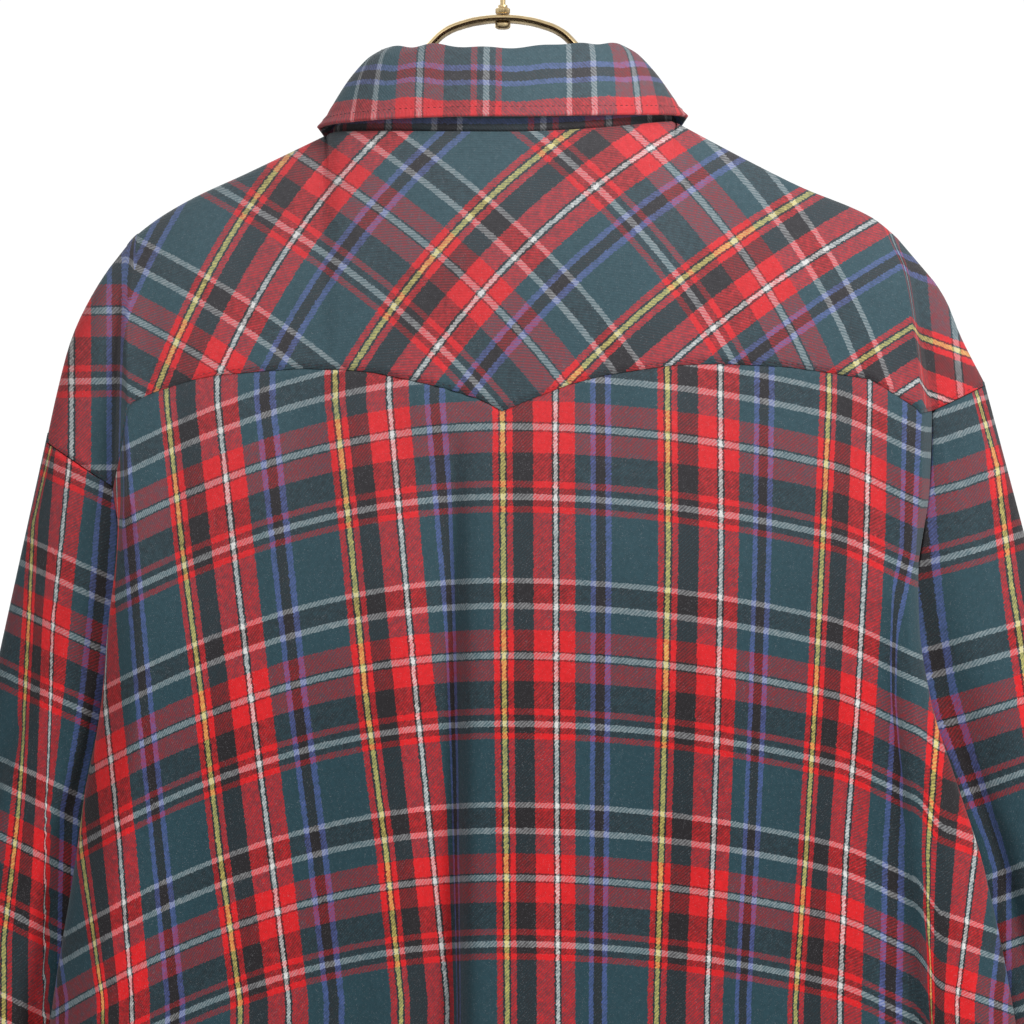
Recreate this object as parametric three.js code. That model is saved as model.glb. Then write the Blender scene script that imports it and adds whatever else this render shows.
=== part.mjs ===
// Western snap shirt in tartan flannel, hanging from a brass hanger.
// Millimetres, +Z up. The back of the shirt faces +Y and the wearer's left is +X.
// The origin is the inside top of the hook, where it hangs on a rail.
import * as THREE from 'three';

// Driving dimensions
const WALL = 1.6;            // thickness of the flannel
const GAP = 0.3;             // space between neighbouring pieces
const SEAM = GAP / 2;        // what each of two pieces gives up at a seam
const LAP = WALL + 2 * GAP;  // step from one layer of cloth to the next
const DEPTH = 45;            // back or front of the body, out from the plane of the hanger
const CROWN = 6;             // how much shallower the body is near the arms than at its middle
const CROWN_REACH = 210;     // where the crown has taken all of that
const FALL = 70;             // how softly the cloth rolls over the shoulder
const NECK_HALF = 92;        // half the width of the neck seam
const NECK_BACK = -145;      // height of the neck seam at the middle of the back
const NECK_FRONT = -205;     // and at the middle of the front
const NECK_DEPTH = { back: 45, front: 50 };
const FRONT_ROLL = 0.28;     // how far the back yoke rolls over the shoulder to the front
const UNDERARM = -490;       // height where the sleeves part from the body
const HEM_MIDDLE = -925;     // shirt-tail hem at the middle of the back
const HEM_RISE = 72;         // how much the tail rises to the side seams
const FRONT_HEM_LIFT = 22;   // the front is this much shorter
const PLACKET_HALF = 17.5;   // half the width of the snap placket
const SNAP_RADIUS = 5.4;
const SNAP_FIRST = -243;     // height of the top snap of the placket
const SNAP_PITCH = 104;
const SNAP_COUNT = 6;
const CUFF_HEIGHT = 64;
const HOOK_RADIUS = 18;      // inside of the hook
const WIRE = 1.45;           // radius of the hook's wire

// A table has named columns and a row for each height, from the top down.
function table(names, rows) {
  return rows.map((row) => Object.fromEntries(names.map((name, k) => [name, row[k]])));
}

// One shoulder and side each: x is counted outward from the middle.
// "ridge" is the outline of the shoulder, from the neck point to the top of the sleeve seam.
const RIDGE = ['x', 'z'];
// "corner" is the crease that hangs from the tip of the hanger, "edge" the outermost line of the
// body, "seam" the bottom of the groove at the arm and below it the side seam. A share is the
// depth there, in parts of the body's own depth.
const SIDE = ['z', 'corner', 'edge', 'edgeShare', 'seam', 'seamShare',
  'frontCorner', 'frontEdge', 'frontEdgeShare', 'frontSeamShare'];
// "arm" gives the two ends of the sleeve seam's visible stretch.
const SIDES = {
  left: {
    sign: 1,
    ridge: table(RIDGE, [
      [92, -141.5], [136, -162.6], [168, -177.6], [193, -194], [210, -214],
      [222.5, -234.5], [230.5, -252.7], [238, -281], [243.3, -305.5],
    ]),
    arm: { inner: 205.7, innerZ: -330, outer: 243.3, outerZ: -305.5 },
    rows: table(SIDE, [
      [-190, 193, 196, 1.00, 201, 1.00, 193, 197, 1.00, 1.00],
      [-215, 194, 197, 1.00, 202, 0.97, 193, 197, 1.00, 0.97],
      [-250, 196, 199, 0.96, 203, 0.80, 192, 198, 0.97, 0.86],
      [-283, 196, 199, 0.89, 204, 0.62, 190, 198, 0.93, 0.78],
      [-306, 196, 199, 0.85, 205, 0.55, 190, 198, 0.90, 0.76],
      [-330, 196, 199, 0.80, 205.7, 0.51, 189, 197, 0.88, 0.76],
      [-356, 190, 201, 0.76, 202, 0.44, 187, 196, 0.86, 0.76],
      [-400, 189, 207, 0.66, 197, 0.30, 184, 192, 0.82, 0.72],
      [-450, 191, 213, 0.40, 196, 0.06, 180, 190, 0.74, 0.52],
      [-490, 194, 221, 0.32, 197, -0.18, 177, 188, 0.66, 0.18],
      [-532, 200, 227, 0.30, 202, -0.18, 177, 190, 0.64, 0.18],
      [-600, 211, 238, 0.30, 212, -0.18, 184, 206, 0.60, 0.18],
      [-700, 222, 250, 0.30, 223, -0.18, 196, 218, 0.60, 0.18],
      [-925, 232, 262, 0.30, 234, -0.18, 212, 230, 0.60, 0.18],
    ]),
    sleeve: table(['z', 'x', 'y', 'halfWidth', 'halfDepth'], [
      [-520, 250, -36, 46, 43],
      [-600, 262, -37, 46, 42],
      [-700, 276, -38, 46, 40],
      [-770, 284, -38, 44, 38],
      [-795, 286, -38, 47, 29],
    ]),
    cuffX: 288,
  },
  right: {
    sign: -1,
    ridge: table(RIDGE, [
      [92, -135.5], [130, -155.7], [159, -170.1], [195.5, -185.6], [208.3, -195.5],
      [221.7, -210], [236, -230], [244, -249.4], [257.4, -275.6],
    ]),
    arm: { inner: 227, innerZ: -290, outer: 257.4, outerZ: -275.6 },
    rows: table(SIDE, [
      [-185, 199, 203, 1.00, 208, 1.00, 199, 203, 1.00, 1.00],
      [-200, 204, 207, 0.99, 211, 0.96, 203, 207, 1.00, 0.97],
      [-215, 210, 213, 0.97, 217, 0.86, 205, 211, 0.98, 0.92],
      [-244, 215, 217, 0.93, 221, 0.70, 207, 214, 0.95, 0.84],
      [-271, 218, 220, 0.90, 225, 0.58, 204, 214, 0.92, 0.78],
      [-290, 219, 222, 0.86, 227, 0.52, 204, 214, 0.90, 0.76],
      [-330, 219, 222, 0.80, 226, 0.40, 203, 213, 0.88, 0.76],
      [-360, 214, 218, 0.74, 222, 0.32, 201, 212, 0.86, 0.74],
      [-400, 212, 219, 0.68, 216, 0.22, 198, 209, 0.80, 0.66],
      [-440, 214, 225, 0.58, 213, 0.06, 194, 206, 0.74, 0.50],
      [-490, 222, 241, 0.44, 218, -0.18, 193, 206, 0.66, 0.18],
      [-530, 232, 254, 0.38, 226, -0.18, 197, 213, 0.64, 0.18],
      [-600, 246, 269, 0.36, 240, -0.18, 212, 234, 0.60, 0.18],
      [-700, 258, 284, 0.34, 253, -0.18, 226, 248, 0.60, 0.18],
      [-925, 270, 298, 0.32, 268, -0.18, 244, 264, 0.60, 0.18],
    ]),
    sleeve: table(['z', 'x', 'y', 'halfWidth', 'halfDepth'], [
      [-520, 277, -36, 50, 43],
      [-600, 297, -37, 50, 42],
      [-700, 312, -38, 48, 40],
      [-770, 320, -38, 45, 38],
      [-795, 322, -38, 47, 29],
    ]),
    cuffX: 324,
  },
};

// Hanging folds of the body. A fold runs from (top, x) to (bottom, xEnd); it sinks in by "depth"
// at its lower end, "rise" and "run" are its widths toward the right and the left arm.
const FOLD = ['face', 'top', 'x', 'bottom', 'xEnd', 'depth', 'rise', 'run'];
const FOLDS = table(FOLD, [
  ['back', -300, 25, -925, 22, 19, 9, 26],
  ['back', -400, -196, -925, -232, 12, 12, 20],
  ['back', -380, -70, -925, -92, 7, 34, 34],
  ['back', -380, -150, -925, -168, 7, 30, 30],
  ['back', -420, 98, -925, 128, 7, 34, 34],
  ['front', -290, -120, -925, -138, 13, 18, 26],
  ['front', -310, 96, -925, 112, 12, 24, 16],
  ['front', -400, 160, -925, 178, 8, 20, 20],
  ['front', -420, -60, -925, -66, 6, 18, 18],
]);

// Rings of the collar, counted round from the middle of the back. "reach" is the angle where the
// ring ends, in degrees, "point" lets the front corner hang lower, and "fall" is how late the ring
// drops from the shoulder toward the front.
const COLLAR = ['half', 'back', 'front', 'backZ', 'leftZ', 'rightZ', 'frontZ', 'reach', 'point',
  'fall'];
const STAND = table(COLLAR, [
  [92, 45, 50, -144.5, -141, -135, -204.2, 188, 0, 1.5],
  [80, 41, 47.5, -129.5, -125.5, -120, -190.5, 188, 0, 1.5],
  [67.5, 37, 44.5, -114.2, -110.2, -105.4, -177.4, 188, 0, 1.5],
]);
const LEAF = table(COLLAR, [
  [67, 36.8, 44.2, -113.3, -109, -104.2, -176.3, 174, 0, 1.5],
  [63.4, 36.6, 43.6, -104.6, -101, -98, -171, 174, 0, 1.5],
  [63.6, 39.4, 46, -100.4, -96.8, -94.6, -167.6, 174, 0, 1.5],
  [71, 43.6, 50.4, -103.6, -101, -98.6, -170.4, 172, 0, 1.5],
  [82, 47, 55, -116, -113, -110, -185, 166, 3, 1.7],
  [91, 49.5, 60, -128.5, -127, -122.5, -203, 159, 9, 2],
  [98.5, 51.5, 65, -138, -138.6, -132.8, -219, 151, 18, 2.2],
]);

// Monotone curve through one column of a table, so that it never swings past a row.
function read(rows, key, name, at) {
  const last = rows.length - 1;
  const way = Math.sign(rows[last][key] - rows[0][key]);
  if (way * (at - rows[0][key]) <= 0) return rows[0][name];
  if (way * (at - rows[last][key]) >= 0) return rows[last][name];
  let i = 0;
  while (way * (at - rows[i + 1][key]) > 0) i += 1;
  const secant = (k) => (rows[k + 1][name] - rows[k][name]) / (rows[k + 1][key] - rows[k][key]);
  const slope = (k) => {
    if (k === 0) return secant(0);
    if (k === last) return secant(last - 1);
    const a = secant(k - 1);
    const b = secant(k);
    return a * b <= 0 ? 0 : (2 * a * b) / (a + b);
  };
  const span = rows[i + 1][key] - rows[i][key];
  const t = (at - rows[i][key]) / span;
  const square = t * t;
  const cube = square * t;
  return (2 * cube - 3 * square + 1) * rows[i][name]
    + (cube - 2 * square + t) * span * slope(i)
    + (3 * square - 2 * cube) * rows[i + 1][name]
    + (cube - square) * span * slope(i + 1);
}

const mix = (a, b, t) => a + (b - a) * t;
const smooth = (from, to, at) => {
  const t = Math.min(1, Math.max(0, (at - from) / (to - from)));
  return t * t * (3 - 2 * t);
};

// The shoulder outline of one side, and the height where the cloth starts over a given x.
const ridgeZ = (side, x) => read(side.ridge, 'x', 'z', x);
function topZ(face, side, x) {
  const neckPoint = ridgeZ(side, NECK_HALF);
  if (x >= NECK_HALF) return ridgeZ(side, x);
  const across = (x / NECK_HALF) ** 2;
  if (face === 'back') return mix(NECK_BACK, neckPoint, across);
  return mix(neckPoint, NECK_FRONT, (1 - across) ** 0.75);
}

// The outline of the shoulder at a height, found between the ends of the ridge.
function outlineX(side, z) {
  let low = NECK_HALF;
  let high = side.ridge[side.ridge.length - 1].x;
  for (let k = 0; k < 30; k += 1) {
    const middle = (low + high) / 2;
    if (ridgeZ(side, middle) > z) low = middle;
    else high = middle;
  }
  return (low + high) / 2;
}

// How far the plain surface of the body stands out from the plane of the hanger.
function bodyDepth(face, side, x, z) {
  const drop = Math.max(0, topZ(face, side, x) - z);
  const atNeck = x < NECK_HALF ? NECK_DEPTH[face] * Math.sqrt(1 - (x / NECK_HALF) ** 2) : 0;
  const full = DEPTH - CROWN * (x / CROWN_REACH) ** 2;
  return atNeck + (full - atNeck) * Math.sqrt(1 - Math.exp(-drop / FALL));
}

// How deep the hanging folds have sunk at a place; x is signed here.
function foldDepth(face, x, z) {
  let depth = 0;
  for (const fold of FOLDS) {
    const grown = (fold.top - z) / (fold.top - fold.bottom);
    if (fold.face === face && grown > 0) {
      const away = x - mix(fold.x, fold.xEnd, Math.min(1, grown));
      const width = away < 0 ? fold.rise : fold.run;
      depth += fold.depth * Math.sqrt(Math.min(1, 1.6 * grown)) * Math.exp(-((away / width) ** 2));
    }
  }
  return depth;
}

// The values at 0, 1/2 and 1 joined by one bend.
const bend = (a, b, c, w) => (2 * w - 1) * (w - 1) * a + 4 * w * (1 - w) * b + w * (2 * w - 1) * c;

// A column of cloth is "main" on the flat of the body, "wall" round the crease at the arm, or
// "cap" on the shoulder outside that crease. Its x depends on the height.
const OUTLINE = {
  back: { corner: 'corner', edge: 'edge', edgeShare: 'edgeShare' },
  front: { corner: 'frontCorner', edge: 'frontEdge', edgeShare: 'frontEdgeShare' },
};
const FLARE_FROM = 60;
function columnX(face, column, z) {
  const { side, kind, at } = column;
  if (kind === 'cap') return at;
  const corner = read(side.rows, 'z', OUTLINE[face].corner, z);
  if (kind === 'wall') {
    const edge = read(side.rows, 'z', OUTLINE[face].edge, z);
    return bend(corner, edge, read(side.rows, 'z', 'seam', z), at);
  }
  const rest = side.rows[0][OUTLINE[face].corner];
  const share = Math.max(0, (at - FLARE_FROM) / (rest - FLARE_FROM));
  return at + share * (corner - rest);
}

function seamShare(face, side, z) {
  if (face === 'back') return read(side.rows, 'z', 'seamShare', z);
  if (z <= UNDERARM) return -read(side.rows, 'z', 'seamShare', z);
  return read(side.rows, 'z', 'frontSeamShare', z);
}

// Height where a column starts, on the ridge or at the neck seam.
function columnTop(face, column) {
  let z = -200;
  for (let k = 0; k < 8; k += 1) z = topZ(face, column.side, columnX(face, column, z));
  return z;
}

// The point of a column at a height, on the outer surface of the cloth.
function bodyPoint(face, column, z) {
  const { side, kind, at } = column;
  const x = columnX(face, column, z);
  let depth;
  if (kind === 'cap') {
    const groove = read(side.rows, 'z', 'seam', z);
    const out = Math.min(1, Math.max(0, (x - groove) / Math.max(0.01, outlineX(side, z) - groove)));
    depth = bodyDepth(face, side, groove, z) * seamShare(face, side, z) * Math.sqrt(1 - out * out);
  } else {
    depth = bodyDepth(face, side, x, z);
    if (kind === 'wall') {
      const edgeShare = read(side.rows, 'z', OUTLINE[face].edgeShare, z);
      depth *= bend(1, edgeShare, seamShare(face, side, z), at);
    }
    const fade = kind === 'wall' ? Math.max(0, 1 - 3 * at) : 1;
    depth -= fade * foldDepth(face, side.sign * x, z);
  }
  return new THREE.Vector3(side.sign * x, face === 'back' ? depth : -depth, z);
}

// A closed wall of cloth from a grid of outer points. at(i, t) gives the point of column i at
// t from 0 to 1; lift(i) moves a column out of the surface. The side of the grid that faces
// along "toward" is the outside.
function cloth({ count, steps, at, toward, wrap = false, lift = () => 0, wall = WALL }) {
  const normals = [];
  const points = [];
  for (let i = 0; i < count; i += 1) {
    for (let j = 0; j <= steps; j += 1) {
      const t = j / steps;
      const before = at(i - 1, t) ?? at(i, t);
      const after = at(i + 1, t) ?? at(i, t);
      const along = after.clone().sub(before);
      const down = at(i, t + 0.004).sub(at(i, t - 0.004));
      points.push(at(i, t));
      normals.push(along.cross(down).normalize());
    }
  }
  const middle = Math.floor(count / 2) * (steps + 1) + Math.floor(steps / 2);
  const way = Math.sign(normals[middle].dot(toward)) || 1;
  const outer = points.map((p, k) => p.clone().addScaledVector(normals[k],
    way * lift(Math.floor(k / (steps + 1)))));
  const inner = outer.map((p, k) => p.clone().addScaledVector(normals[k], -way * wall));
  const corners = [...outer, ...inner];
  const offset = outer.length;
  const spot = (i, j) => (i % count) * (steps + 1) + j;
  const faces = [];
  const quad = (a, b, c, d) => faces.push(a, b, c, a, c, d);
  const lastColumn = wrap ? count : count - 1;
  for (let i = 0; i < lastColumn; i += 1) {
    for (let j = 0; j < steps; j += 1) {
      const [a, b, c, d] = [spot(i, j), spot(i + 1, j), spot(i + 1, j + 1), spot(i, j + 1)];
      quad(a, b, c, d);
      quad(d + offset, c + offset, b + offset, a + offset);
    }
    quad(spot(i + 1, 0), spot(i, 0), spot(i, 0) + offset, spot(i + 1, 0) + offset);
    quad(spot(i, steps), spot(i + 1, steps), spot(i + 1, steps) + offset, spot(i, steps) + offset);
  }
  if (!wrap) {
    for (let j = 0; j < steps; j += 1) {
      quad(spot(0, j), spot(0, j + 1), spot(0, j + 1) + offset, spot(0, j) + offset);
      const end = count - 1;
      quad(spot(end, j + 1), spot(end, j), spot(end, j) + offset, spot(end, j + 1) + offset);
    }
  }
  return closed(corners, faces);
}

// A mesh from points and faces, turned so that its faces point out.
function closed(corners, faces) {
  let volume = 0;
  for (let k = 0; k < faces.length; k += 3) {
    const [a, b, c] = [corners[faces[k]], corners[faces[k + 1]], corners[faces[k + 2]]];
    volume += a.dot(b.clone().cross(c));
  }
  if (volume < 0) {
    for (let k = 0; k < faces.length; k += 3) [faces[k], faces[k + 1]] = [faces[k + 1], faces[k]];
  }
  const geometry = new THREE.BufferGeometry();
  geometry.setAttribute('position', new THREE.Float32BufferAttribute(
    corners.flatMap((p) => [p.x, p.y, p.z]), 3));
  geometry.setIndex(faces);
  geometry.computeVertexNormals();
  return geometry;
}

// Materials
const FINISH = {
  flannel: { color: 0x5a3a40, roughness: 0.95, metalness: 0 },
  pearl: { color: 0xe6e2d8, roughness: 0.25, metalness: 0.1 },
  brass: { color: 0x8a7445, roughness: 0.35, metalness: 0.9 },
};
const shirt = new THREE.Group();
function add(name, geometry, finish) {
  const mesh = new THREE.Mesh(geometry, new THREE.MeshStandardMaterial(FINISH[finish]));
  mesh.name = name;
  shirt.add(mesh);
  return mesh;
}

// Columns
const WALL_STEPS = [0.25, 0.5, 0.75, 1];
const CAP_STEPS = [0.2, 0.45, 0.7, 0.88, 1];
const SIDE_END = 1 - SEAM / 55;   // the side seam's share of the gap, on a wall about 55 mm long
const CAP_END = 1;                // the last cap column is this far inside the seam's outer end
const SHOULDER = [108, 128, 148, 168, 183];
const BACK_MAIN = {
  left: [8, 15, 20, 24, 29, 37, 50, 68, 88, ...SHOULDER, 193],
  right: [10, 29, 50, 68, 88, ...SHOULDER, 191, 199],
};
const NECK_COLUMNS = [80, NECK_HALF];   // the yokes have these too, where the neck seam turns
const byX = (a, b) => a - b;
function mainColumns(side, values) {
  return values.map((at) => ({ side, kind: 'main', at }));
}
function wallColumns(side) {
  return WALL_STEPS.map((at) => ({ side, kind: 'wall', at }));
}
function capColumns(side) {
  const inner = side.arm.inner;
  const outer = side.arm.outer - CAP_END;
  return CAP_STEPS.map((share) => ({ side, kind: 'cap', at: mix(inner, outer, share) }));
}
const CORNER_FROM = 192;   // main columns from here out hang at the crease
const armLine = (side, x) => mix(side.arm.innerZ, side.arm.outerZ,
  (x - side.arm.inner) / (side.arm.outer - side.arm.inner));

// Yoke seams: straight stretches between named points, x signed.
const YOKE_SEAM = table(['x', 'z'], [
  [-224, -299], [-217, -289], [-193, -274], [-174, -271], [-148, -267.5], [-112, -266],
  [-88, -267], [-54, -272], [-35, -277], [-14, -285], [0, -291], [11, -285], [30, -279],
  [47, -275], [66, -271], [79, -269.5], [105, -268.5], [126, -270], [150, -272], [163, -274.5],
  [183, -281], [194, -286], [197, -290],
]);
const FRONT_YOKE_SEAM = table(['x', 'z'], [
  [17, -240], [50, -259], [88, -287], [108, -301], [128, -289], [148, -281], [168, -277],
  [192, -281],
]);
function straight(rows, x) {
  let i = 0;
  while (i < rows.length - 2 && x > rows[i + 1].x) i += 1;
  const [a, b] = [rows[i], rows[i + 1]];
  return mix(a.z, b.z, Math.min(1, Math.max(0, (x - a.x) / (b.x - a.x))));
}

// Height of the yoke seam on a column. On the wall it runs down into the groove.
function yokeSeam(face, column) {
  const { side, kind, at } = column;
  const line = (x) => (face === 'back' ? straight(YOKE_SEAM, side.sign * x)
    : straight(FRONT_YOKE_SEAM, x));
  if (kind === 'cap') return armLine(side, at);
  if (kind === 'main') {
    let z = -280;
    for (let k = 0; k < 4; k += 1) z = line(columnX(face, column, z));
    return z;
  }
  const corner = { side, kind: 'main', at: side.rows[0][OUTLINE[face].corner] };
  return mix(line(columnX(face, corner, -285)), side.arm.innerZ, at ** 1.5);
}

// Height of the hem on a column.
function hemZ(face, column) {
  const { side, kind, at } = column;
  const middle = HEM_MIDDLE + (face === 'front' ? FRONT_HEM_LIFT : 0);
  const rise = HEM_RISE - (face === 'front' ? FRONT_HEM_LIFT : 0);
  const reach = kind === 'wall' ? 1 : at / side.rows[0][OUTLINE[face].corner];
  return middle + rise * smooth(0.35, 1.02, reach);
}

// A column's height as a function of p, which is 0 on the ridge and grows down either face.
const zOfP = (face, column, p) => columnTop(face, column) - FALL * p * p;
const pOfZ = (face, column, z) => Math.sqrt(Math.max(0, columnTop(face, column) - z) / FALL);

// A seam's share of the gap on a column, more where the seam runs steeply down the wall, and what
// the yokes give up at the neck seam, as a value of p.
function seamTrim(column) {
  if (column.kind === 'wall') return 5 * SEAM;
  return column.kind === 'main' && column.at > CORNER_FROM ? 9 * SEAM : 1.5 * SEAM;
}
const NECK_TRIM = Math.sqrt((2.2 * GAP) / FALL);

const ROLL_ROWS = 0.25;   // part of the yoke's rows that lies forward of the ridge
const FULL_ROLL = 108;    // the roll grows from nothing at the neck point to its full width here
function frontRoll(column) {
  const grown = column.kind === 'main' ? smooth(NECK_HALF - 2, FULL_ROLL, column.at) : 1;
  return FRONT_ROLL * grown;
}

// Back yoke: it rolls over the shoulders and ends a little way down the front.
function yokePoint(column, t) {
  const onShoulder = column.kind !== 'main' || column.at >= NECK_HALF;
  const reachBack = pOfZ('back', column, yokeSeam('back', column) + seamTrim(column));
  const reachFront = Math.min(frontRoll(column), reachBack);
  let p = mix(NECK_TRIM, reachBack, t);
  if (onShoulder && t < ROLL_ROWS) p = reachFront * (t / ROLL_ROWS - 1);
  else if (onShoulder) p = reachBack * (t - ROLL_ROWS) / (1 - ROLL_ROWS);
  return bodyPoint(p < 0 ? 'front' : 'back', column, zOfP('back', column, Math.abs(p)));
}
const yokeMain = (name) => mainColumns(SIDES[name],
  [...BACK_MAIN[name], ...NECK_COLUMNS].sort(byX));
function acrossBack(left, right) {
  return [...right.reverse(), { side: SIDES.left, kind: 'main', at: 0 }, ...left];
}
const yokeColumns = acrossBack(
  [...yokeMain('left'), ...wallColumns(SIDES.left), ...capColumns(SIDES.left)],
  [...yokeMain('right'), ...wallColumns(SIDES.right), ...capColumns(SIDES.right)],
);
add('back_yoke', cloth({
  count: yokeColumns.length,
  steps: 8,
  at: (i, t) => (yokeColumns[i] ? yokePoint(yokeColumns[i], t) : null),
  toward: new THREE.Vector3(0, 1, 0),
}), 'flannel');

// Back and front panels hang from the yoke seams to the hem. The last column of each wall stops
// short of the side seam, and beyond it comes the other face, so that both share one slope there.
function panelPoint(face, column, t) {
  const top = yokeSeam(face, column) - seamTrim(column);
  const z = mix(top, hemZ(face, column), t);
  const trimmed = column.kind === 'wall' && column.at === 1 ? { ...column, at: SIDE_END } : column;
  return bodyPoint(face, trimmed, z);
}
function beyondSeam(face, side, t) {
  const last = { side, kind: 'wall', at: 1 };
  const z = mix(yokeSeam(face, last) - seamTrim(last), hemZ(face, last), t);
  if (z > UNDERARM) return null;
  return bodyPoint(face === 'back' ? 'front' : 'back', { side, kind: 'wall', at: 0.75 }, z);
}
const backColumns = acrossBack(
  [...mainColumns(SIDES.left, BACK_MAIN.left), ...wallColumns(SIDES.left)],
  [...mainColumns(SIDES.right, BACK_MAIN.right), ...wallColumns(SIDES.right)],
);
add('back_panel', cloth({
  count: backColumns.length,
  steps: 13,
  at: (i, t) => {
    if (i < 0) return beyondSeam('back', SIDES.right, t);
    if (i >= backColumns.length) return beyondSeam('back', SIDES.left, t);
    return panelPoint('back', backColumns[i], t);
  },
  toward: new THREE.Vector3(0, 1, 0),
}), 'flannel');

// Fronts: the left one laps over the right one, and the placket lies on the left one.
const FRONT_MAIN = [29, 50, 68, 88, ...SHOULDER];
const BESIDE_PLACKET = PLACKET_HALF + 0.1;   // from here out the front yoke covers the top
const lapColumns = [-PLACKET_HALF + SEAM, -6, 6, PLACKET_HALF];
function signedColumn(x) {
  return { side: x < 0 ? SIDES.right : SIDES.left, kind: 'main', at: Math.abs(x) };
}
const frontCorner = (side) => side.rows[0].frontCorner;
const frontColumns = {
  left: [...lapColumns.map(signedColumn),
    ...mainColumns(SIDES.left, [BESIDE_PLACKET, ...FRONT_MAIN, frontCorner(SIDES.left)]),
    ...wallColumns(SIDES.left)],
  right: [14, 6, -6, -PLACKET_HALF].map(signedColumn).concat(
    mainColumns(SIDES.right, [BESIDE_PLACKET, ...FRONT_MAIN, frontCorner(SIDES.right)]),
    wallColumns(SIDES.right)),
};
// The middle of the fronts starts at the neck seam, the rest at the front yoke seam.
function frontTop(column) {
  const yokeStarts = column.kind !== 'main' || column.at > PLACKET_HALF;
  return yokeStarts ? yokeSeam('front', column) - seamTrim(column)
    : topZ('front', column.side, column.at) - 2 * GAP;
}
function frontPoint(column, t) {
  const z = mix(frontTop(column), hemZ('front', column), t);
  const trimmed = column.kind === 'wall' && column.at === 1 ? { ...column, at: SIDE_END } : column;
  return bodyPoint('front', trimmed, z);
}
const towardFront = new THREE.Vector3(0, -1, 0);
const FRONT_STEPS = 13;
const UNDERLAP = [1, 1, 1, 1, 1, 0.1];
for (const name of ['left', 'right']) {
  const columns = frontColumns[name];
  add(`front_${name}`, cloth({
    count: columns.length,
    steps: FRONT_STEPS,
    at: (i, t) => {
      if (i < 0) return null;
      if (i >= columns.length) return beyondSeam('front', SIDES[name], t);
      return frontPoint(columns[i], t);
    },
    lift: (i) => (name === 'right' ? -LAP * (UNDERLAP[i] ?? 0) : 0),
    toward: towardFront,
  }), 'flannel');
}
add('placket', cloth({
  count: lapColumns.length,
  steps: FRONT_STEPS,
  at: (i, t) => (lapColumns[i] === undefined ? null : frontPoint(signedColumn(lapColumns[i]), t)),
  lift: () => WALL + GAP,
  toward: towardFront,
}), 'flannel');

// Front yokes run from the shoulder seam to the front yoke seam.
function frontYokePoint(column, t) {
  const onShoulder = column.kind !== 'main' || column.at >= NECK_HALF;
  const end = pOfZ('front', column, yokeSeam('front', column) + seamTrim(column));
  const start = onShoulder ? Math.min(frontRoll(column), end) + SEAM / 12 : NECK_TRIM;
  return bodyPoint('front', column, zOfP('front', column, mix(start, end, t)));
}
for (const name of ['left', 'right']) {
  const side = SIDES[name];
  const columns = [
    ...mainColumns(side, [BESIDE_PLACKET + 2 * GAP, ...FRONT_MAIN, ...NECK_COLUMNS,
      frontCorner(side)].sort(byX)),
    ...wallColumns(side),
    ...capColumns(side).slice(0, -1),
  ];
  add(`front_yoke_${name}`, cloth({
    count: columns.length,
    steps: 6,
    at: (i, t) => (columns[i] ? frontYokePoint(columns[i], t) : null),
    toward: towardFront,
  }), 'flannel');
}

// Sleeves: a tube from the arm seam down to the cuff. Its first ring follows the groove of the
// body up the back, crosses the top of the shoulder and comes down the groove of the front.
const GROOVE_ROWS = [0.98, 0.8, 0.58, 0.34, 0.12];
function armRing(side) {
  const groove = (face, share) => bodyPoint(face, { side, kind: 'wall', at: 1 },
    mix(side.arm.innerZ, UNDERARM, share));
  const onSeam = (face, column) => bodyPoint(face, column, armLine(side, columnX(face, column, -300)));
  const caps = capColumns(side);
  const backHalf = [...GROOVE_ROWS.map((share) => groove('back', share)),
    groove('back', 0), ...caps.map((column) => onSeam('back', column))];
  const frontHalf = [...GROOVE_ROWS.map((share) => groove('front', share)),
    groove('front', 0), ...caps.map((column) => onSeam('front', column))];
  const top = bodyPoint('back', caps[caps.length - 1], columnTop('back', caps[caps.length - 1]));
  const ring = [groove('back', 1), ...backHalf, top, ...frontHalf.reverse()];
  const clear = (k) => {
    const fromUnderarm = Math.min(k, ring.length - k);
    const inward = k < ring.length / 2 ? -0.9 : 0.9;
    if (fromUnderarm < 3) return new THREE.Vector3(side.sign * 2, fromUnderarm ? inward : 0, -0.6);
    if (fromUnderarm <= GROOVE_ROWS.length) return new THREE.Vector3(side.sign * 0.5, inward, -0.4);
    return new THREE.Vector3(side.sign * 0.5, 0, -0.6);
  };
  return ring.map((p, k) => p.add(clear(k)));
}

const SLEEVE_FOLD = { at: 0.2, depth: 7, width: 0.035 };
function sleeveRing(side, angle, z) {
  const row = (name) => read(side.sleeve, 'z', name, z);
  const turn = 2 * Math.PI * angle;
  const fade = smooth(-795, -740, z);
  const shrink = fade * SLEEVE_FOLD.depth
    * Math.exp(-(((angle - SLEEVE_FOLD.at) / SLEEVE_FOLD.width) ** 2));
  return new THREE.Vector3(
    side.sign * (row('x') - (row('halfWidth') - shrink) * Math.cos(turn)),
    row('y') + (row('halfDepth') - shrink) * Math.sin(turn),
    z,
  );
}

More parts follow.
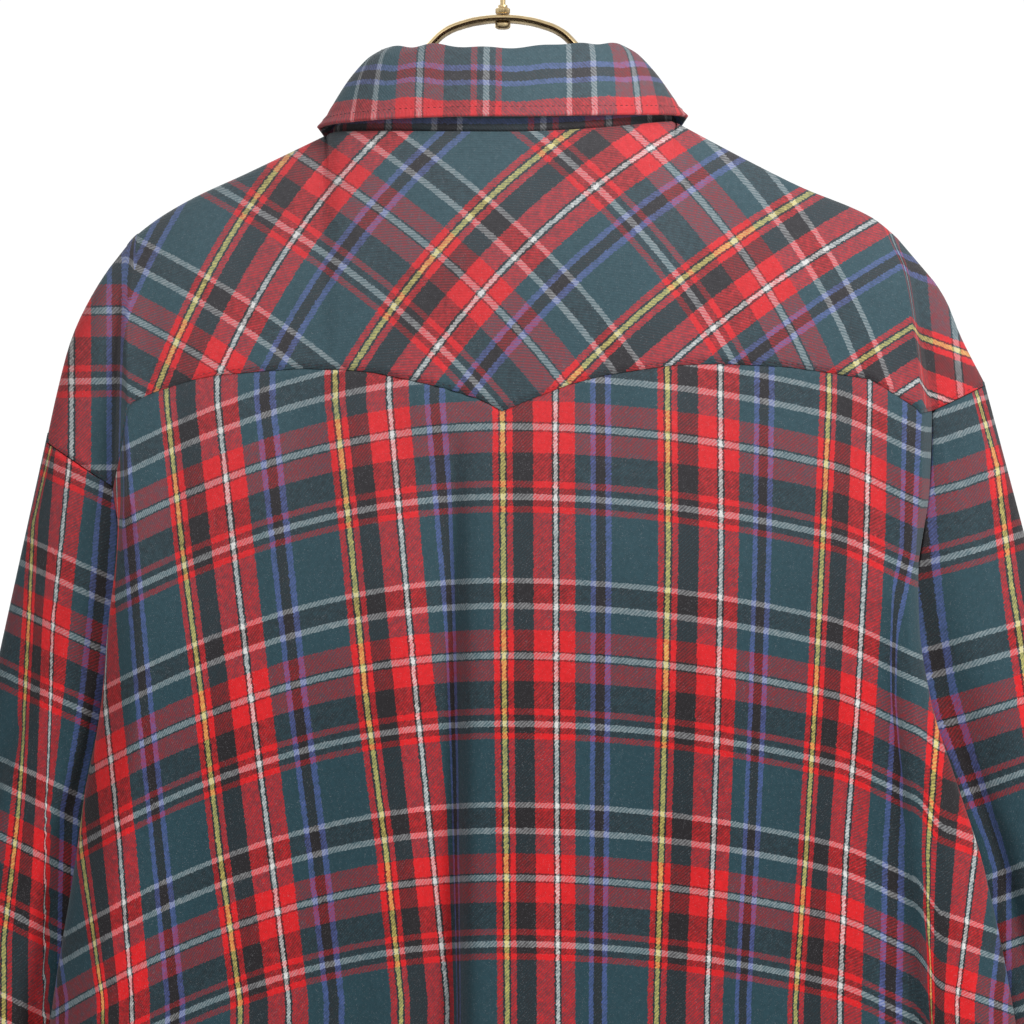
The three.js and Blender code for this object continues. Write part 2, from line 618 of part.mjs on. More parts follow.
const SLEEVE_SPLIT = 0.42;   // part of the rows above the first full ring
for (const name of ['left', 'right']) {
  const side = SIDES[name];
  const ring = armRing(side);
  const top = ring.length / 2;
  const angles = ring.map(() => 0);
  for (let k = 1; k < ring.length; k += 1) {
    angles[k] = angles[k - 1] + ring[k].distanceTo(ring[k - 1]);
  }
  const whole = angles[ring.length - 1] + ring[0].distanceTo(ring[ring.length - 1]);
  const half = angles[Math.round(top)];
  const angle = (k) => (angles[k] <= half ? 0.5 * (angles[k] / half)
    : 0.5 + 0.5 * ((angles[k] - half) / (whole - half)));
  const first = side.sleeve[0].z;
  const last = side.sleeve[side.sleeve.length - 1].z;
  add(`sleeve_${name}`, cloth({
    count: ring.length,
    steps: 13,
    wrap: true,
    at: (i, t) => {
      const k = (i + ring.length) % ring.length;
      if (t <= SLEEVE_SPLIT) {
        const target = sleeveRing(side, angle(k), first);
        return ring[k].clone().lerp(target, t / SLEEVE_SPLIT);
      }
      return sleeveRing(side, angle(k), mix(first, last, (t - SLEEVE_SPLIT) / (1 - SLEEVE_SPLIT)));
    },
    toward: new THREE.Vector3(side.sign, 0, 0.2),
  }), 'flannel');
}

// A band that closes on itself with its last stretch lying over its first.
function lapBand(name, { count, steps, point, lapFrom, toward }) {
  add(name, cloth({
    count,
    steps,
    at: (i, t) => (i < 0 || i >= count ? null : point(i / (count - 1), t)),
    lift: (i) => LAP * smooth(lapFrom - 0.04, lapFrom, i / (count - 1)),
    toward,
  }), 'flannel');
}

// Cuffs: one turn round the wrist and a little more, which laps over the start
const CUFF = { halfWidth: 47, halfDepth: 29, y: -38, start: 0.62, lap: 0.07 };
const CUFF_COLUMNS = 25;
function cuffPoint(side, s, t) {
  const sleeveEnd = side.sleeve[side.sleeve.length - 1];
  const turn = 2 * Math.PI * (CUFF.start + s * (1 + CUFF.lap));
  return new THREE.Vector3(
    side.sign * (mix(sleeveEnd.x, side.cuffX, t) - CUFF.halfWidth * Math.cos(turn)),
    CUFF.y + CUFF.halfDepth * Math.sin(turn),
    sleeveEnd.z - GAP - t * CUFF_HEIGHT,
  );
}
for (const name of ['left', 'right']) {
  lapBand(`cuff_${name}`, {
    count: CUFF_COLUMNS,
    steps: 2,
    lapFrom: 1 - CUFF.lap / (1 + CUFF.lap) - 0.01,
    point: (s, t) => cuffPoint(SIDES[name], s, t),
    toward: new THREE.Vector3(SIDES[name].sign, 0.3, 0),
  });
}

// Collar. A ring's point at an angle from the middle of the back, the wearer's left positive.
function collarPoint(row, share) {
  const degrees = row.reach * (2 * share - 1);
  const angle = (degrees * Math.PI) / 180;
  const out = Math.cos(angle);
  const sideZ = degrees > 0 ? row.leftZ : row.rightZ;
  const corner = row.point * smooth(0.78, 1, Math.abs(2 * share - 1));
  const z = out > 0 ? mix(row.backZ, sideZ, 1 - out * out)
    : mix(sideZ, row.frontZ, Math.abs(out) ** row.fall);
  return new THREE.Vector3(row.half * Math.sin(angle), (out > 0 ? row.back : row.front) * out,
    z - corner);
}
function collarSurface(rows, share, t) {
  const place = Math.min(rows.length - 1.0001, Math.max(0, t * (rows.length - 1)));
  const i = Math.floor(place);
  return collarPoint(rows[i], share).lerp(collarPoint(rows[i + 1], share), place - i);
}
lapBand('collar_stand', {
  count: 33,
  steps: 2,
  lapFrom: 0.955,
  point: (s, t) => collarSurface(STAND, s, t),
  toward: new THREE.Vector3(0, 1, 0),
});
const LEAF_COLUMNS = 29;
add('collar_leaf', cloth({
  count: LEAF_COLUMNS,
  steps: LEAF.length - 1,
  at: (i, t) => (i < 0 || i >= LEAF_COLUMNS ? null
    : collarSurface(LEAF, i / (LEAF_COLUMNS - 1), t)),
  toward: new THREE.Vector3(0, 0, 1),
}), 'flannel');

// Snaps: a flat-backed cap with a rolled rim round a low pearl dome.
const snapProfile = [[0, 0], [4.4, 0], [SNAP_RADIUS, 0.9], [4.7, 1.9], [2.6, 2.5], [0, 2.9]];
const snapShape = () => new THREE.LatheGeometry(
  snapProfile.map(([r, y]) => new THREE.Vector2(r, y)), 10);
function snap(name, base, normal) {
  const mesh = add(name, snapShape(), 'pearl');
  mesh.position.copy(base).addScaledVector(normal, GAP);
  mesh.quaternion.setFromUnitVectors(new THREE.Vector3(0, 1, 0), normal);
}
const middle = signedColumn(0);
const placketFront = WALL + 1.5 * GAP;   // the placket is slightly hollow between its rows
for (let k = 0; k < SNAP_COUNT; k += 1) {
  const z = SNAP_FIRST - k * SNAP_PITCH;
  const down = (frontTop(middle) - z) / (frontTop(middle) - hemZ('front', middle));
  const rowAbove = Math.floor(FRONT_STEPS * down);
  const [above, below] = [rowAbove, rowAbove + 1].map((row) => frontPoint(middle, row / FRONT_STEPS));
  const normal = new THREE.Vector3(0, below.z - above.z, above.y - below.y).normalize();
  const base = above.clone().lerp(below, (above.z - z) / (above.z - below.z));
  snap(`snap_front_${k + 1}`, base.addScaledVector(normal, placketFront), normal);
}
const standLow = collarPoint(STAND[0], 0.98);
const standHigh = collarPoint(STAND[2], 0.98);
const standNormal = new THREE.Vector3(0, standLow.z - standHigh.z, standHigh.y - standLow.y)
  .normalize();
const standMiddle = new THREE.Vector3(0, (standLow.y + standHigh.y) / 2,
  (standLow.z + standHigh.z) / 2).addScaledVector(standNormal, LAP + 0.4);
snap('snap_stand', standMiddle, standNormal);

// The snaps of a cuff sit on the middle of its last facet, which is the top layer of the lap.
const CUFF_SNAP_SPOTS = [0.27, 0.73];
for (const name of ['left', 'right']) {
  const side = SIDES[name];
  CUFF_SNAP_SPOTS.forEach((share, k) => {
    const before = cuffPoint(side, 1 - 1 / (CUFF_COLUMNS - 1), share);
    const end = cuffPoint(side, 1, share);
    const base = before.clone().lerp(end, 0.5);
    const across = end.clone().sub(before);
    const normal = new THREE.Vector3(across.y, -across.x, 0).normalize();
    if (normal.y > 0) normal.negate();
    snap(`snap_cuff_${name}_${k + 1}`, base.addScaledVector(normal, LAP), normal);
  });
}

// Hanger. The bar is an arch over the neck and two arms under the shoulders.
const BAR = { halfDepth: 6, halfHeight: 2.3 };
const ARM_TIP = 186;
const BAR_DROP = WALL + 2.4;   // the cloth's facets dip a little below its true curve
const under = (side, x) => ridgeZ(side, x) - BAR_DROP - BAR.halfHeight;
const shoulderPoints = (side) => [ARM_TIP, 160, 130, 106, 93].map(
  (x) => new THREE.Vector3(side.sign * x, 0, under(side, x)));
const neckRise = [[82, -144.2], [68, -127.5], [53, -112], [43.5, -101], [37.5, -93.5], [31, -87.6],
  [20.5, -83.2], [10, -81]];
const risePoints = (side) => neckRise.map(([x, z]) => new THREE.Vector3(side.sign * x, 0, z));
const barPath = new THREE.CatmullRomCurve3([
  ...shoulderPoints(SIDES.left), ...risePoints(SIDES.left), new THREE.Vector3(0, 0, -80.4),
  ...risePoints(SIDES.right).reverse(), ...shoulderPoints(SIDES.right).reverse(),
], false, 'centripetal');
function ellipse(halfAcross, halfUp, sides) {
  const outline = new THREE.Shape();
  for (let k = 0; k < sides; k += 1) {
    const turn = (2 * Math.PI * k) / sides;
    const [x, y] = [halfAcross * Math.cos(turn), halfUp * Math.sin(turn)];
    if (k === 0) outline.moveTo(x, y);
    else outline.lineTo(x, y);
  }
  outline.closePath();
  return outline;
}
add('hanger_bar', new THREE.ExtrudeGeometry(ellipse(BAR.halfDepth, BAR.halfHeight, 8), {
  steps: 44, extrudePath: barPath, bevelEnabled: false,
}), 'brass');

// Hook: a stem that bends aside and goes round over the rail.
const NUT = { top: -73.2, bottom: -77.8, radius: 3.9 };
const turnRadius = HOOK_RADIUS + WIRE;
const [HOOK_START, HOOK_END] = [-0.9, Math.PI + 0.35];   // angles of the round part
const hookPoints = [new THREE.Vector3(0, 0, NUT.top + GAP), new THREE.Vector3(0, 0, -60),
  new THREE.Vector3(1.5, 0, -48), new THREE.Vector3(7, 0, -38.5)];
for (let k = 0; k <= 14; k += 1) {
  const turn = mix(HOOK_START, HOOK_END, k / 14);
  hookPoints.push(new THREE.Vector3(turnRadius * Math.cos(turn), 0,
    turnRadius * Math.sin(turn) - HOOK_RADIUS));
}
add('hanger_hook', new THREE.ExtrudeGeometry(ellipse(WIRE, WIRE, 6), {
  steps: 34,
  extrudePath: new THREE.CatmullRomCurve3(hookPoints, false, 'centripetal'),
  bevelEnabled: false,
}), 'brass');

function turned(name, profile, sides) {
  const geometry = new THREE.LatheGeometry(profile.map(([r, y]) => new THREE.Vector2(r, y)), sides);
  geometry.rotateX(Math.PI / 2);
  add(name, geometry, 'brass');
}
turned('hanger_nut', [[0, NUT.bottom], [3.4, NUT.bottom], [NUT.radius, -76.6], [NUT.radius, -75.4],
  [3.3, -74.6], [2.6, -74.2], [2.6, NUT.top], [0, NUT.top]], 14);
turned('hanger_rivet', [[0, -85.9], [3, -85.7], [4.2, -84.4], [4.2, -83.1], [0, -83.1]], 14);

export default shirt;
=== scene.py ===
"""Looks for a western snap shirt in tartan flannel that hangs on an antique-brass hanger."""
import logging
import math
from dataclasses import dataclass
from enum import Enum
from typing import Iterable, NamedTuple, Sequence

import bpy
import numpy as np
from mathutils import Matrix, Vector


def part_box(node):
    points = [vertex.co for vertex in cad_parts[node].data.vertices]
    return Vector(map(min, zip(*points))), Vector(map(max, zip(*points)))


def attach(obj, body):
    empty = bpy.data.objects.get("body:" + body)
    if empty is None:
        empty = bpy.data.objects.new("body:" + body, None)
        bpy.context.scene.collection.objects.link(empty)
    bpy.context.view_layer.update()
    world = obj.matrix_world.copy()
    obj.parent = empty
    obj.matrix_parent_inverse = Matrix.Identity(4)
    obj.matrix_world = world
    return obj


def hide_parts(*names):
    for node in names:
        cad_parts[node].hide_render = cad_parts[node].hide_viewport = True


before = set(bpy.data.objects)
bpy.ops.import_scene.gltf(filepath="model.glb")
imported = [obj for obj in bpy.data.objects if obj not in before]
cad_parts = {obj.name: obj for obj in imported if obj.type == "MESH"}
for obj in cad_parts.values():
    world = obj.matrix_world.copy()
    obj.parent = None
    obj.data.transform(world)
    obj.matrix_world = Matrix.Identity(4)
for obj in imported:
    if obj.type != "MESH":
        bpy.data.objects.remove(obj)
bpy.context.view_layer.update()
log = logging.getLogger("shirt")

MM = 0.001
WALL = 1.6            # thickness of the flannel, mm
GAP = 0.3             # space between neighbouring pieces
LAP = WALL + 2 * GAP  # step from one layer of cloth to the next
DEPTH = 45.0          # back or front of the body, out from the plane of the hanger
CROWN, CROWN_REACH = 6.0, 210.0
FALL = 70.0           # how softly the cloth rolls over the shoulder
NECK_HALF = 92.0
NECK_BACK, NECK_FRONT = -145.0, -205.0
FRONT_ROLL = 0.28
UNDERARM = -490.0
HEM_MIDDLE, HEM_RISE, FRONT_HEM_LIFT = -925.0, 72.0, 22.0
PLACKET_HALF = 17.5
CUFF_HEIGHT = 64.0


class Face(Enum):
    """The two faces of the shirt's body."""

    BACK = "back"
    FRONT = "front"


class Zone(Enum):
    """Where a column of cloth runs: on the flat, round the crease at the arm, or on the cap."""

    MAIN = "main"
    WALL = "wall"
    CAP = "cap"


class Monotone:
    """A smooth curve through points that never swings past them."""

    def __init__(self, at: Sequence[float], value: Sequence[float]) -> None:
        """Keeps the points in rising order and works out a slope at each.

        Args:
            at: Places along the curve, rising or falling.
            value: The value at each place.
        """
        order = np.argsort(at)
        self.x = np.asarray(at, float)[order]
        self.y = np.asarray(value, float)[order]
        secant = np.diff(self.y) / np.diff(self.x)
        slope = np.empty_like(self.y)
        slope[0], slope[-1] = secant[0], secant[-1]
        a, b = secant[:-1], secant[1:]
        safe = np.where(a + b == 0, 1, a + b)
        slope[1:-1] = np.where(a * b <= 0, 0, 2 * a * b / safe)
        self.slope = slope

    def __call__(self, at: np.ndarray) -> np.ndarray:
        """The curve's value at each place, held at its ends."""
        at = np.clip(np.asarray(at, float), self.x[0], self.x[-1])
        i = np.clip(np.searchsorted(self.x, at, "right") - 1, 0, len(self.x) - 2)
        span = self.x[i + 1] - self.x[i]
        t = (at - self.x[i]) / span
        square, cube = t * t, t * t * t
        return ((2 * cube - 3 * square + 1) * self.y[i] + (cube - 2 * square + t) * span * self.slope[i]
                + (3 * square - 2 * cube) * self.y[i + 1] + (cube - square) * span * self.slope[i + 1])


def smooth(start: float, end: float, at: np.ndarray) -> np.ndarray:
    """A soft step from 0 at start to 1 at end."""
    t = np.clip((np.asarray(at, float) - start) / (end - start), 0, 1)
    return t * t * (3 - 2 * t)


def mix(a: np.ndarray, b: np.ndarray, t: np.ndarray) -> np.ndarray:
    """The value a share t of the way from a to b."""
    return a + (b - a) * t


def bend(a: np.ndarray, b: np.ndarray, c: np.ndarray, w: float) -> np.ndarray:
    """The values at 0, 1/2 and 1 joined by one bend."""
    return (2 * w - 1) * (w - 1) * a + 4 * w * (1 - w) * b + w * (2 * w - 1) * c


class View:
    """The photograph's camera, level and square to the back of the shirt."""

    X, Y, Z = -4.94, 1745.0, -343.4
    PIXEL = 0.52          # size of a pixel at the back of the shirt, mm
    HALF = 512
    LENS = 115.0

    @classmethod
    def pixel(cls, points: np.ndarray) -> tuple[np.ndarray, np.ndarray]:
        """Where points show in the photograph, in pixels from its top left corner."""
        scale = cls.PIXEL * (cls.Y - points[..., 1]) / (cls.Y - DEPTH)
        return cls.HALF - (points[..., 0] - cls.X) / scale, cls.HALF - (points[..., 2] - cls.Z) / scale


class SideRow(NamedTuple):
    """The body's outline at one height: x of each line outward, and depths as shares of the body's."""

    z: float
    corner: float
    edge: float
    edge_share: float
    seam: float
    seam_share: float
    front_corner: float
    front_edge: float
    front_edge_share: float
    front_seam_share: float


class SleeveRow(NamedTuple):
    """One level of a sleeve: its middle and half its width and depth."""

    z: float
    x: float
    y: float
    half_width: float
    half_depth: float


@dataclass(frozen=True)
class Side:
    """One shoulder and side of the shirt, with x counted outward from the middle."""

    name: str
    sign: int
    ridge: tuple[tuple[float, float], ...]
    arm: tuple[float, float, float, float]
    rows: tuple[SideRow, ...]
    sleeve: tuple[SleeveRow, ...]
    cuff_x: float

    def curve(self, name: str) -> Monotone:
        """The curve of one column of the outline table over height."""
        return Monotone([row.z for row in self.rows], [getattr(row, name) for row in self.rows])

    def sleeve_curve(self, name: str) -> Monotone:
        """The curve of one column of the sleeve table over height."""
        return Monotone([row.z for row in self.sleeve], [getattr(row, name) for row in self.sleeve])

    def ridge_z(self, x: np.ndarray) -> np.ndarray:
        """Height of the shoulder outline over x."""
        return Monotone([p[0] for p in self.ridge], [p[1] for p in self.ridge])(x)

    def outline_x(self, z: np.ndarray) -> np.ndarray:
        """The shoulder outline's x at a height."""
        xs = np.linspace(NECK_HALF, self.ridge[-1][0], 400)
        return np.interp(-np.asarray(z, float), -self.ridge_z(xs), xs)

    def arm_line(self, x: np.ndarray) -> np.ndarray:
        """Height of the visible stretch of the sleeve seam at x."""
        inner, inner_z, outer, outer_z = self.arm
        return mix(inner_z, outer_z, (x - inner) / (outer - inner))


LEFT = Side(
    name="left", sign=1,
    ridge=((92, -141.5), (136, -162.6), (168, -177.6), (193, -194), (210, -214), (222.5, -234.5),
           (230.5, -252.7), (238, -281), (243.3, -305.5)),
    arm=(205.7, -330, 243.3, -305.5),
    rows=(
        SideRow(-190, 193, 196, 1.00, 201, 1.00, 193, 197, 1.00, 1.00),
        SideRow(-215, 194, 197, 1.00, 202, 0.97, 193, 197, 1.00, 0.97),
        SideRow(-250, 196, 199, 0.96, 203, 0.80, 192, 198, 0.97, 0.86),
        SideRow(-283, 196, 199, 0.89, 204, 0.62, 190, 198, 0.93, 0.78),
        SideRow(-306, 196, 199, 0.85, 205, 0.55, 190, 198, 0.90, 0.76),
        SideRow(-330, 196, 199, 0.80, 205.7, 0.51, 189, 197, 0.88, 0.76),
        SideRow(-356, 190, 201, 0.76, 202, 0.44, 187, 196, 0.86, 0.76),
        SideRow(-400, 189, 207, 0.66, 197, 0.30, 184, 192, 0.82, 0.72),
        SideRow(-450, 191, 213, 0.40, 196, 0.06, 180, 190, 0.74, 0.52),
        SideRow(-490, 194, 221, 0.32, 197, -0.18, 177, 188, 0.66, 0.18),
        SideRow(-532, 200, 227, 0.30, 202, -0.18, 177, 190, 0.64, 0.18),
        SideRow(-600, 211, 238, 0.30, 212, -0.18, 184, 206, 0.60, 0.18),
        SideRow(-700, 222, 250, 0.30, 223, -0.18, 196, 218, 0.60, 0.18),
        SideRow(-925, 232, 262, 0.30, 234, -0.18, 212, 230, 0.60, 0.18),
    ),
    sleeve=(
        SleeveRow(-520, 250, -36, 46, 43), SleeveRow(-600, 262, -37, 46, 42),
        SleeveRow(-700, 276, -38, 46, 40), SleeveRow(-770, 284, -38, 44, 38),
        SleeveRow(-795, 286, -38, 47, 29),
    ),
    cuff_x=288,
)
RIGHT = Side(
    name="right", sign=-1,
    ridge=((92, -135.5), (130, -155.7), (159, -170.1), (195.5, -185.6), (208.3, -195.5),
           (221.7, -210), (236, -230), (244, -249.4), (257.4, -275.6)),
    arm=(227, -290, 257.4, -275.6),
    rows=(
        SideRow(-185, 199, 203, 1.00, 208, 1.00, 199, 203, 1.00, 1.00),
        SideRow(-200, 204, 207, 0.99, 211, 0.96, 203, 207, 1.00, 0.97),
        SideRow(-215, 210, 213, 0.97, 217, 0.86, 205, 211, 0.98, 0.92),
        SideRow(-244, 215, 217, 0.93, 221, 0.70, 207, 214, 0.95, 0.84),
        SideRow(-271, 218, 220, 0.90, 225, 0.58, 204, 214, 0.92, 0.78),
        SideRow(-290, 219, 222, 0.86, 227, 0.52, 204, 214, 0.90, 0.76),
        SideRow(-330, 219, 222, 0.80, 226, 0.40, 203, 213, 0.88, 0.76),
        SideRow(-360, 214, 218, 0.74, 222, 0.32, 201, 212, 0.86, 0.74),
        SideRow(-400, 212, 219, 0.68, 216, 0.22, 198, 209, 0.80, 0.66),
        SideRow(-440, 214, 225, 0.58, 213, 0.06, 194, 206, 0.74, 0.50),
        SideRow(-490, 222, 241, 0.44, 218, -0.18, 193, 206, 0.66, 0.18),
        SideRow(-530, 232, 254, 0.38, 226, -0.18, 197, 213, 0.64, 0.18),
        SideRow(-600, 246, 269, 0.36, 240, -0.18, 212, 234, 0.60, 0.18),
        SideRow(-700, 258, 284, 0.34, 253, -0.18, 226, 248, 0.60, 0.18),
        SideRow(-925, 270, 298, 0.32, 268, -0.18, 244, 264, 0.60, 0.18),
    ),
    sleeve=(
        SleeveRow(-520, 277, -36, 50, 43), SleeveRow(-600, 297, -37, 50, 42),
        SleeveRow(-700, 312, -38, 48, 40), SleeveRow(-770, 320, -38, 45, 38),
        SleeveRow(-795, 322, -38, 47, 29),
    ),
    cuff_x=324,
)
SIDES = (LEFT, RIGHT)


class Fold(NamedTuple):
    """A hanging fold from (top, x) to (bottom, x_end), with its widths toward either arm, mm."""

    face: Face
    top: float
    x: float
    bottom: float
    x_end: float
    depth: float
    rise: float
    run: float


HANGING_FOLDS = (
    Fold(Face.BACK, -300, 27, -925, 27, 22, 7.5, 16),
    Fold(Face.BACK, -390, -196, -925, -238, 12, 7, 24),
    Fold(Face.BACK, -380, -70, -925, -92, 7, 34, 34),
    Fold(Face.BACK, -380, -150, -925, -168, 7, 30, 30),
    Fold(Face.BACK, -420, 98, -925, 128, 7, 34, 34),
    Fold(Face.FRONT, -290, -120, -925, -138, 13, 18, 26),
    Fold(Face.FRONT, -310, 96, -925, 112, 12, 24, 16),
    Fold(Face.FRONT, -400, 160, -925, 178, 8, 20, 20),
    Fold(Face.FRONT, -420, -60, -925, -66, 6, 18, 18),
)


class Crease(NamedTuple):
    """A soft trough, or a ridge where the depth is negative, between two places of one face."""

    face: Face
    x: float
    z: float
    x_end: float
    z_end: float
    depth: float
    width: float


CREASES = (
    Crease(Face.BACK, 107, -272, 104, -345, 1.6, 12),
    Crease(Face.BACK, 62, -268, 50, -330, 1.2, 9),
    Crease(Face.BACK, -60, -264, -52, -318, 1.3, 10),
    Crease(Face.BACK, -112, -268, -120, -350, 1.2, 12),
    Crease(Face.BACK, 168, -282, 176, -360, 1.8, 8),
    Crease(Face.BACK, -196, -300, -203, -380, 1.9, 8),
    Crease(Face.BACK, -205, -235, -212, -290, 1.8, 7),
    Crease(Face.BACK, 182, -225, 190, -275, 1.4, 8),
    Crease(Face.BACK, 150, -470, 186, -640, 3.2, 17),
    Crease(Face.BACK, 70, -560, 92, -760, 2.4, 15),
    Crease(Face.BACK, -34, -500, -40, -700, 2.2, 18),
    Crease(Face.BACK, -118, -560, -134, -800, 2.6, 20),
    Crease(Face.BACK, -168, -430, -196, -560, 2.4, 12),
    Crease(Face.BACK, 45, -420, 41, -600, -1.6, 9),
    Crease(Face.BACK, -8, -150, -30, -190, 0.9, 9),
    Crease(Face.BACK, 40, -152, 62, -186, 0.8, 8),
    Crease(Face.BACK, -95, -172, -140, -215, 1.1, 10),
    Crease(Face.BACK, 100, -176, 150, -220, 1.0, 10),
    Crease(Face.FRONT, 60, -300, 72, -480, 2.2, 13),
    Crease(Face.FRONT, -84, -330, -96, -560, 2.4, 15),
    Crease(Face.FRONT, 132, -350, 150, -520, 2.4, 12),
    Crease(Face.FRONT, -160, -360, -176, -600, 2.8, 14),
    Crease(Face.FRONT, 40, -560, 52, -800, 2.2, 18),
    Crease(Face.FRONT, 90, -210, 130, -255, 1.2, 10),
    Crease(Face.FRONT, -90, -206, -132, -250, 1.2, 10),
)


@dataclass(frozen=True)
class Column:
    """A column of cloth on one side of the body, named by its zone and its place in it."""

    side: Side
    zone: Zone
    at: float


class Body:
    """The surface of the shirt's body, from the yoke's ridge to the hem."""

    NECK_DEPTH = {Face.BACK: 45.0, Face.FRONT: 50.0}
    FLARE_FROM = 60.0
    YOKE_SEAM = ((-224, -299), (-217, -289), (-193, -274), (-174, -271), (-148, -267.5), (-112, -266),
                 (-88, -267), (-54, -272), (-35, -277), (-14, -285), (0, -291), (11, -285), (30, -279),
                 (47, -275), (66, -271), (79, -269.5), (105, -268.5), (126, -270), (150, -272),
                 (163, -274.5), (183, -281), (194, -286), (197, -290))
    FRONT_YOKE_SEAM = ((17, -240), (50, -259), (88, -287), (108, -301), (128, -289), (148, -281),
                       (168, -277), (192, -281))

    @staticmethod
    def named(face: Face, name: str) -> str:
        """The outline column that holds a value for one face."""
        return name if face is Face.BACK else f"front_{name}"

    def top_z(self, face: Face, side: Side, x: np.ndarray) -> np.ndarray:
        """Height where the cloth starts over x, on the shoulder or at the neck seam."""
        x = np.asarray(x, float)
        neck_point = side.ridge_z(NECK_HALF)
        across = np.clip(x / NECK_HALF, 0, 1) ** 2
        if face is Face.BACK:
            near = mix(NECK_BACK, neck_point, across)
        else:
            near = mix(neck_point, NECK_FRONT, (1 - across) ** 0.75)
        return np.where(x >= NECK_HALF, side.ridge_z(x), near)

    def depth(self, face: Face, side: Side, x: np.ndarray, z: np.ndarray) -> np.ndarray:
        """How far the plain surface stands out from the plane of the hanger."""
        drop = np.maximum(0, self.top_z(face, side, x) - z)
        at_neck = self.NECK_DEPTH[face] * np.sqrt(1 - np.clip(x / NECK_HALF, 0, 1) ** 2)
        full = DEPTH - CROWN * (x / CROWN_REACH) ** 2
        return at_neck + (full - at_neck) * np.sqrt(1 - np.exp(-drop / FALL))

    def fold_depth(self, face: Face, x: np.ndarray, z: np.ndarray) -> np.ndarray:
        """How deep the hanging folds and the creases have sunk; x is signed here."""
        depth = np.zeros(np.broadcast(x, z).shape)
        for fold in HANGING_FOLDS:
            if fold.face is face:
                grown = np.clip((fold.top - z) / (fold.top - fold.bottom), 0, 1)
                away = x - mix(fold.x, fold.x_end, grown)
                width = np.where(away < 0, fold.rise, fold.run)
                depth += fold.depth * np.sqrt(np.minimum(1, 1.6 * grown)) * np.exp(-(away / width) ** 2)
        for crease in CREASES:
            if crease.face is face:
                run = np.array([crease.x_end - crease.x, crease.z_end - crease.z], float)
                length = float(np.hypot(*run))
                along = ((x - crease.x) * run[0] + (z - crease.z) * run[1]) / length ** 2
                aside = ((x - crease.x) * run[1] - (z - crease.z) * run[0]) / length
                ends = smooth(-0.12, 0.3, along) * (1 - smooth(0.6, 1.15, along))
                depth += crease.depth * ends * np.exp(-(aside / crease.width) ** 2)
        wave = np.sin(x / 13.0 + 1.3 * np.sin(z / 41.0)) * np.sin(z / 29.0 + 0.9 * np.sin(x / 37.0))
        return depth + 0.35 * wave

    def column_x(self, face: Face, column: Column, z: np.ndarray) -> np.ndarray:
        """A column's x at each height."""
        if column.zone is Zone.CAP:
            return np.full(np.shape(z), float(column.at))
        side = column.side
        corner = side.curve(self.named(face, "corner"))(z)
        if column.zone is Zone.WALL:
            edge = side.curve(self.named(face, "edge"))(z)
            return bend(corner, edge, side.curve("seam")(z), column.at)
        rest = getattr(side.rows[0], self.named(face, "corner"))
        share = max(0.0, (column.at - self.FLARE_FROM) / (rest - self.FLARE_FROM))
        return column.at + share * (corner - rest)

    def seam_share(self, face: Face, side: Side, z: np.ndarray) -> np.ndarray:
        """Depth of the groove or side seam, as a share of the body's."""
        back = side.curve("seam_share")(z)
        if face is Face.BACK:
            return back
        return np.where(z <= UNDERARM, -back, side.curve("front_seam_share")(z))

    def column_top(self, face: Face, column: Column) -> float:
        """Height where a column starts."""
        z = -200.0
        for _ in range(8):
            z = float(self.top_z(face, column.side, self.column_x(face, column, np.float64(z))))
        return z

    def points(self, face: Face, column: Column, z: np.ndarray) -> np.ndarray:
        """Points of a column on the cloth's outer surface.

        Args:
            face: The face of the body.
            column: The column of cloth.
            z: Heights, mm.

        Returns:
            One point for each height.
        """
        z = np.asarray(z, float)
        side = column.side
        x = self.column_x(face, column, z)
        if column.zone is Zone.CAP:
            groove = side.curve("seam")(z)
            out = np.clip((x - groove) / np.maximum(0.01, side.outline_x(z) - groove), 0, 1)
            depth = self.depth(face, side, groove, z) * self.seam_share(face, side, z)
            depth = depth * np.sqrt(1 - out * out)
        else:
            depth = self.depth(face, side, x, z)
            fade = 1.0
            if column.zone is Zone.WALL:
                share = side.curve(self.named(face, "edge_share"))(z)
                depth = depth * bend(1, share, self.seam_share(face, side, z), column.at)
                fade = max(0.0, 1 - 3 * column.at)
            settle = smooth(0, 14, self.top_z(face, side, x) - z)
            depth = depth - fade * settle * self.fold_depth(face, side.sign * x, z)
        way = 1 if face is Face.BACK else -1
        return np.stack([side.sign * x, way * depth, z], axis=-1)

    def yoke_seam(self, face: Face, column: Column) -> float:
        """Height of the yoke seam on a column."""
        rows = self.YOKE_SEAM if face is Face.BACK else self.FRONT_YOKE_SEAM
        side = column.side

        def line(x: float) -> float:
            """Height of the seam's drawn line at x."""
            at = side.sign * x if face is Face.BACK else x
            return float(np.interp(at, [r[0] for r in rows], [r[1] for r in rows]))

        if column.zone is Zone.CAP:
            return float(side.arm_line(column.at))
        if column.zone is Zone.MAIN:
            z = -280.0
            for _ in range(4):
                z = line(float(self.column_x(face, column, np.float64(z))))
            return z
        corner = Column(side, Zone.MAIN, getattr(side.rows[0], self.named(face, "corner")))
        return mix(line(float(self.column_x(face, corner, np.float64(-285)))), side.arm[1], column.at ** 1.5)

    def hem(self, face: Face, column: Column) -> float:
        """Height of the shirt-tail hem on a column."""
        lift = FRONT_HEM_LIFT if face is Face.FRONT else 0
        rest = getattr(column.side.rows[0], self.named(face, "corner"))
        reach = 1 if column.zone is Zone.WALL else column.at / rest
        return float(HEM_MIDDLE + lift + (HEM_RISE - lift) * smooth(0.35, 1.02, reach))


BODY = Body()


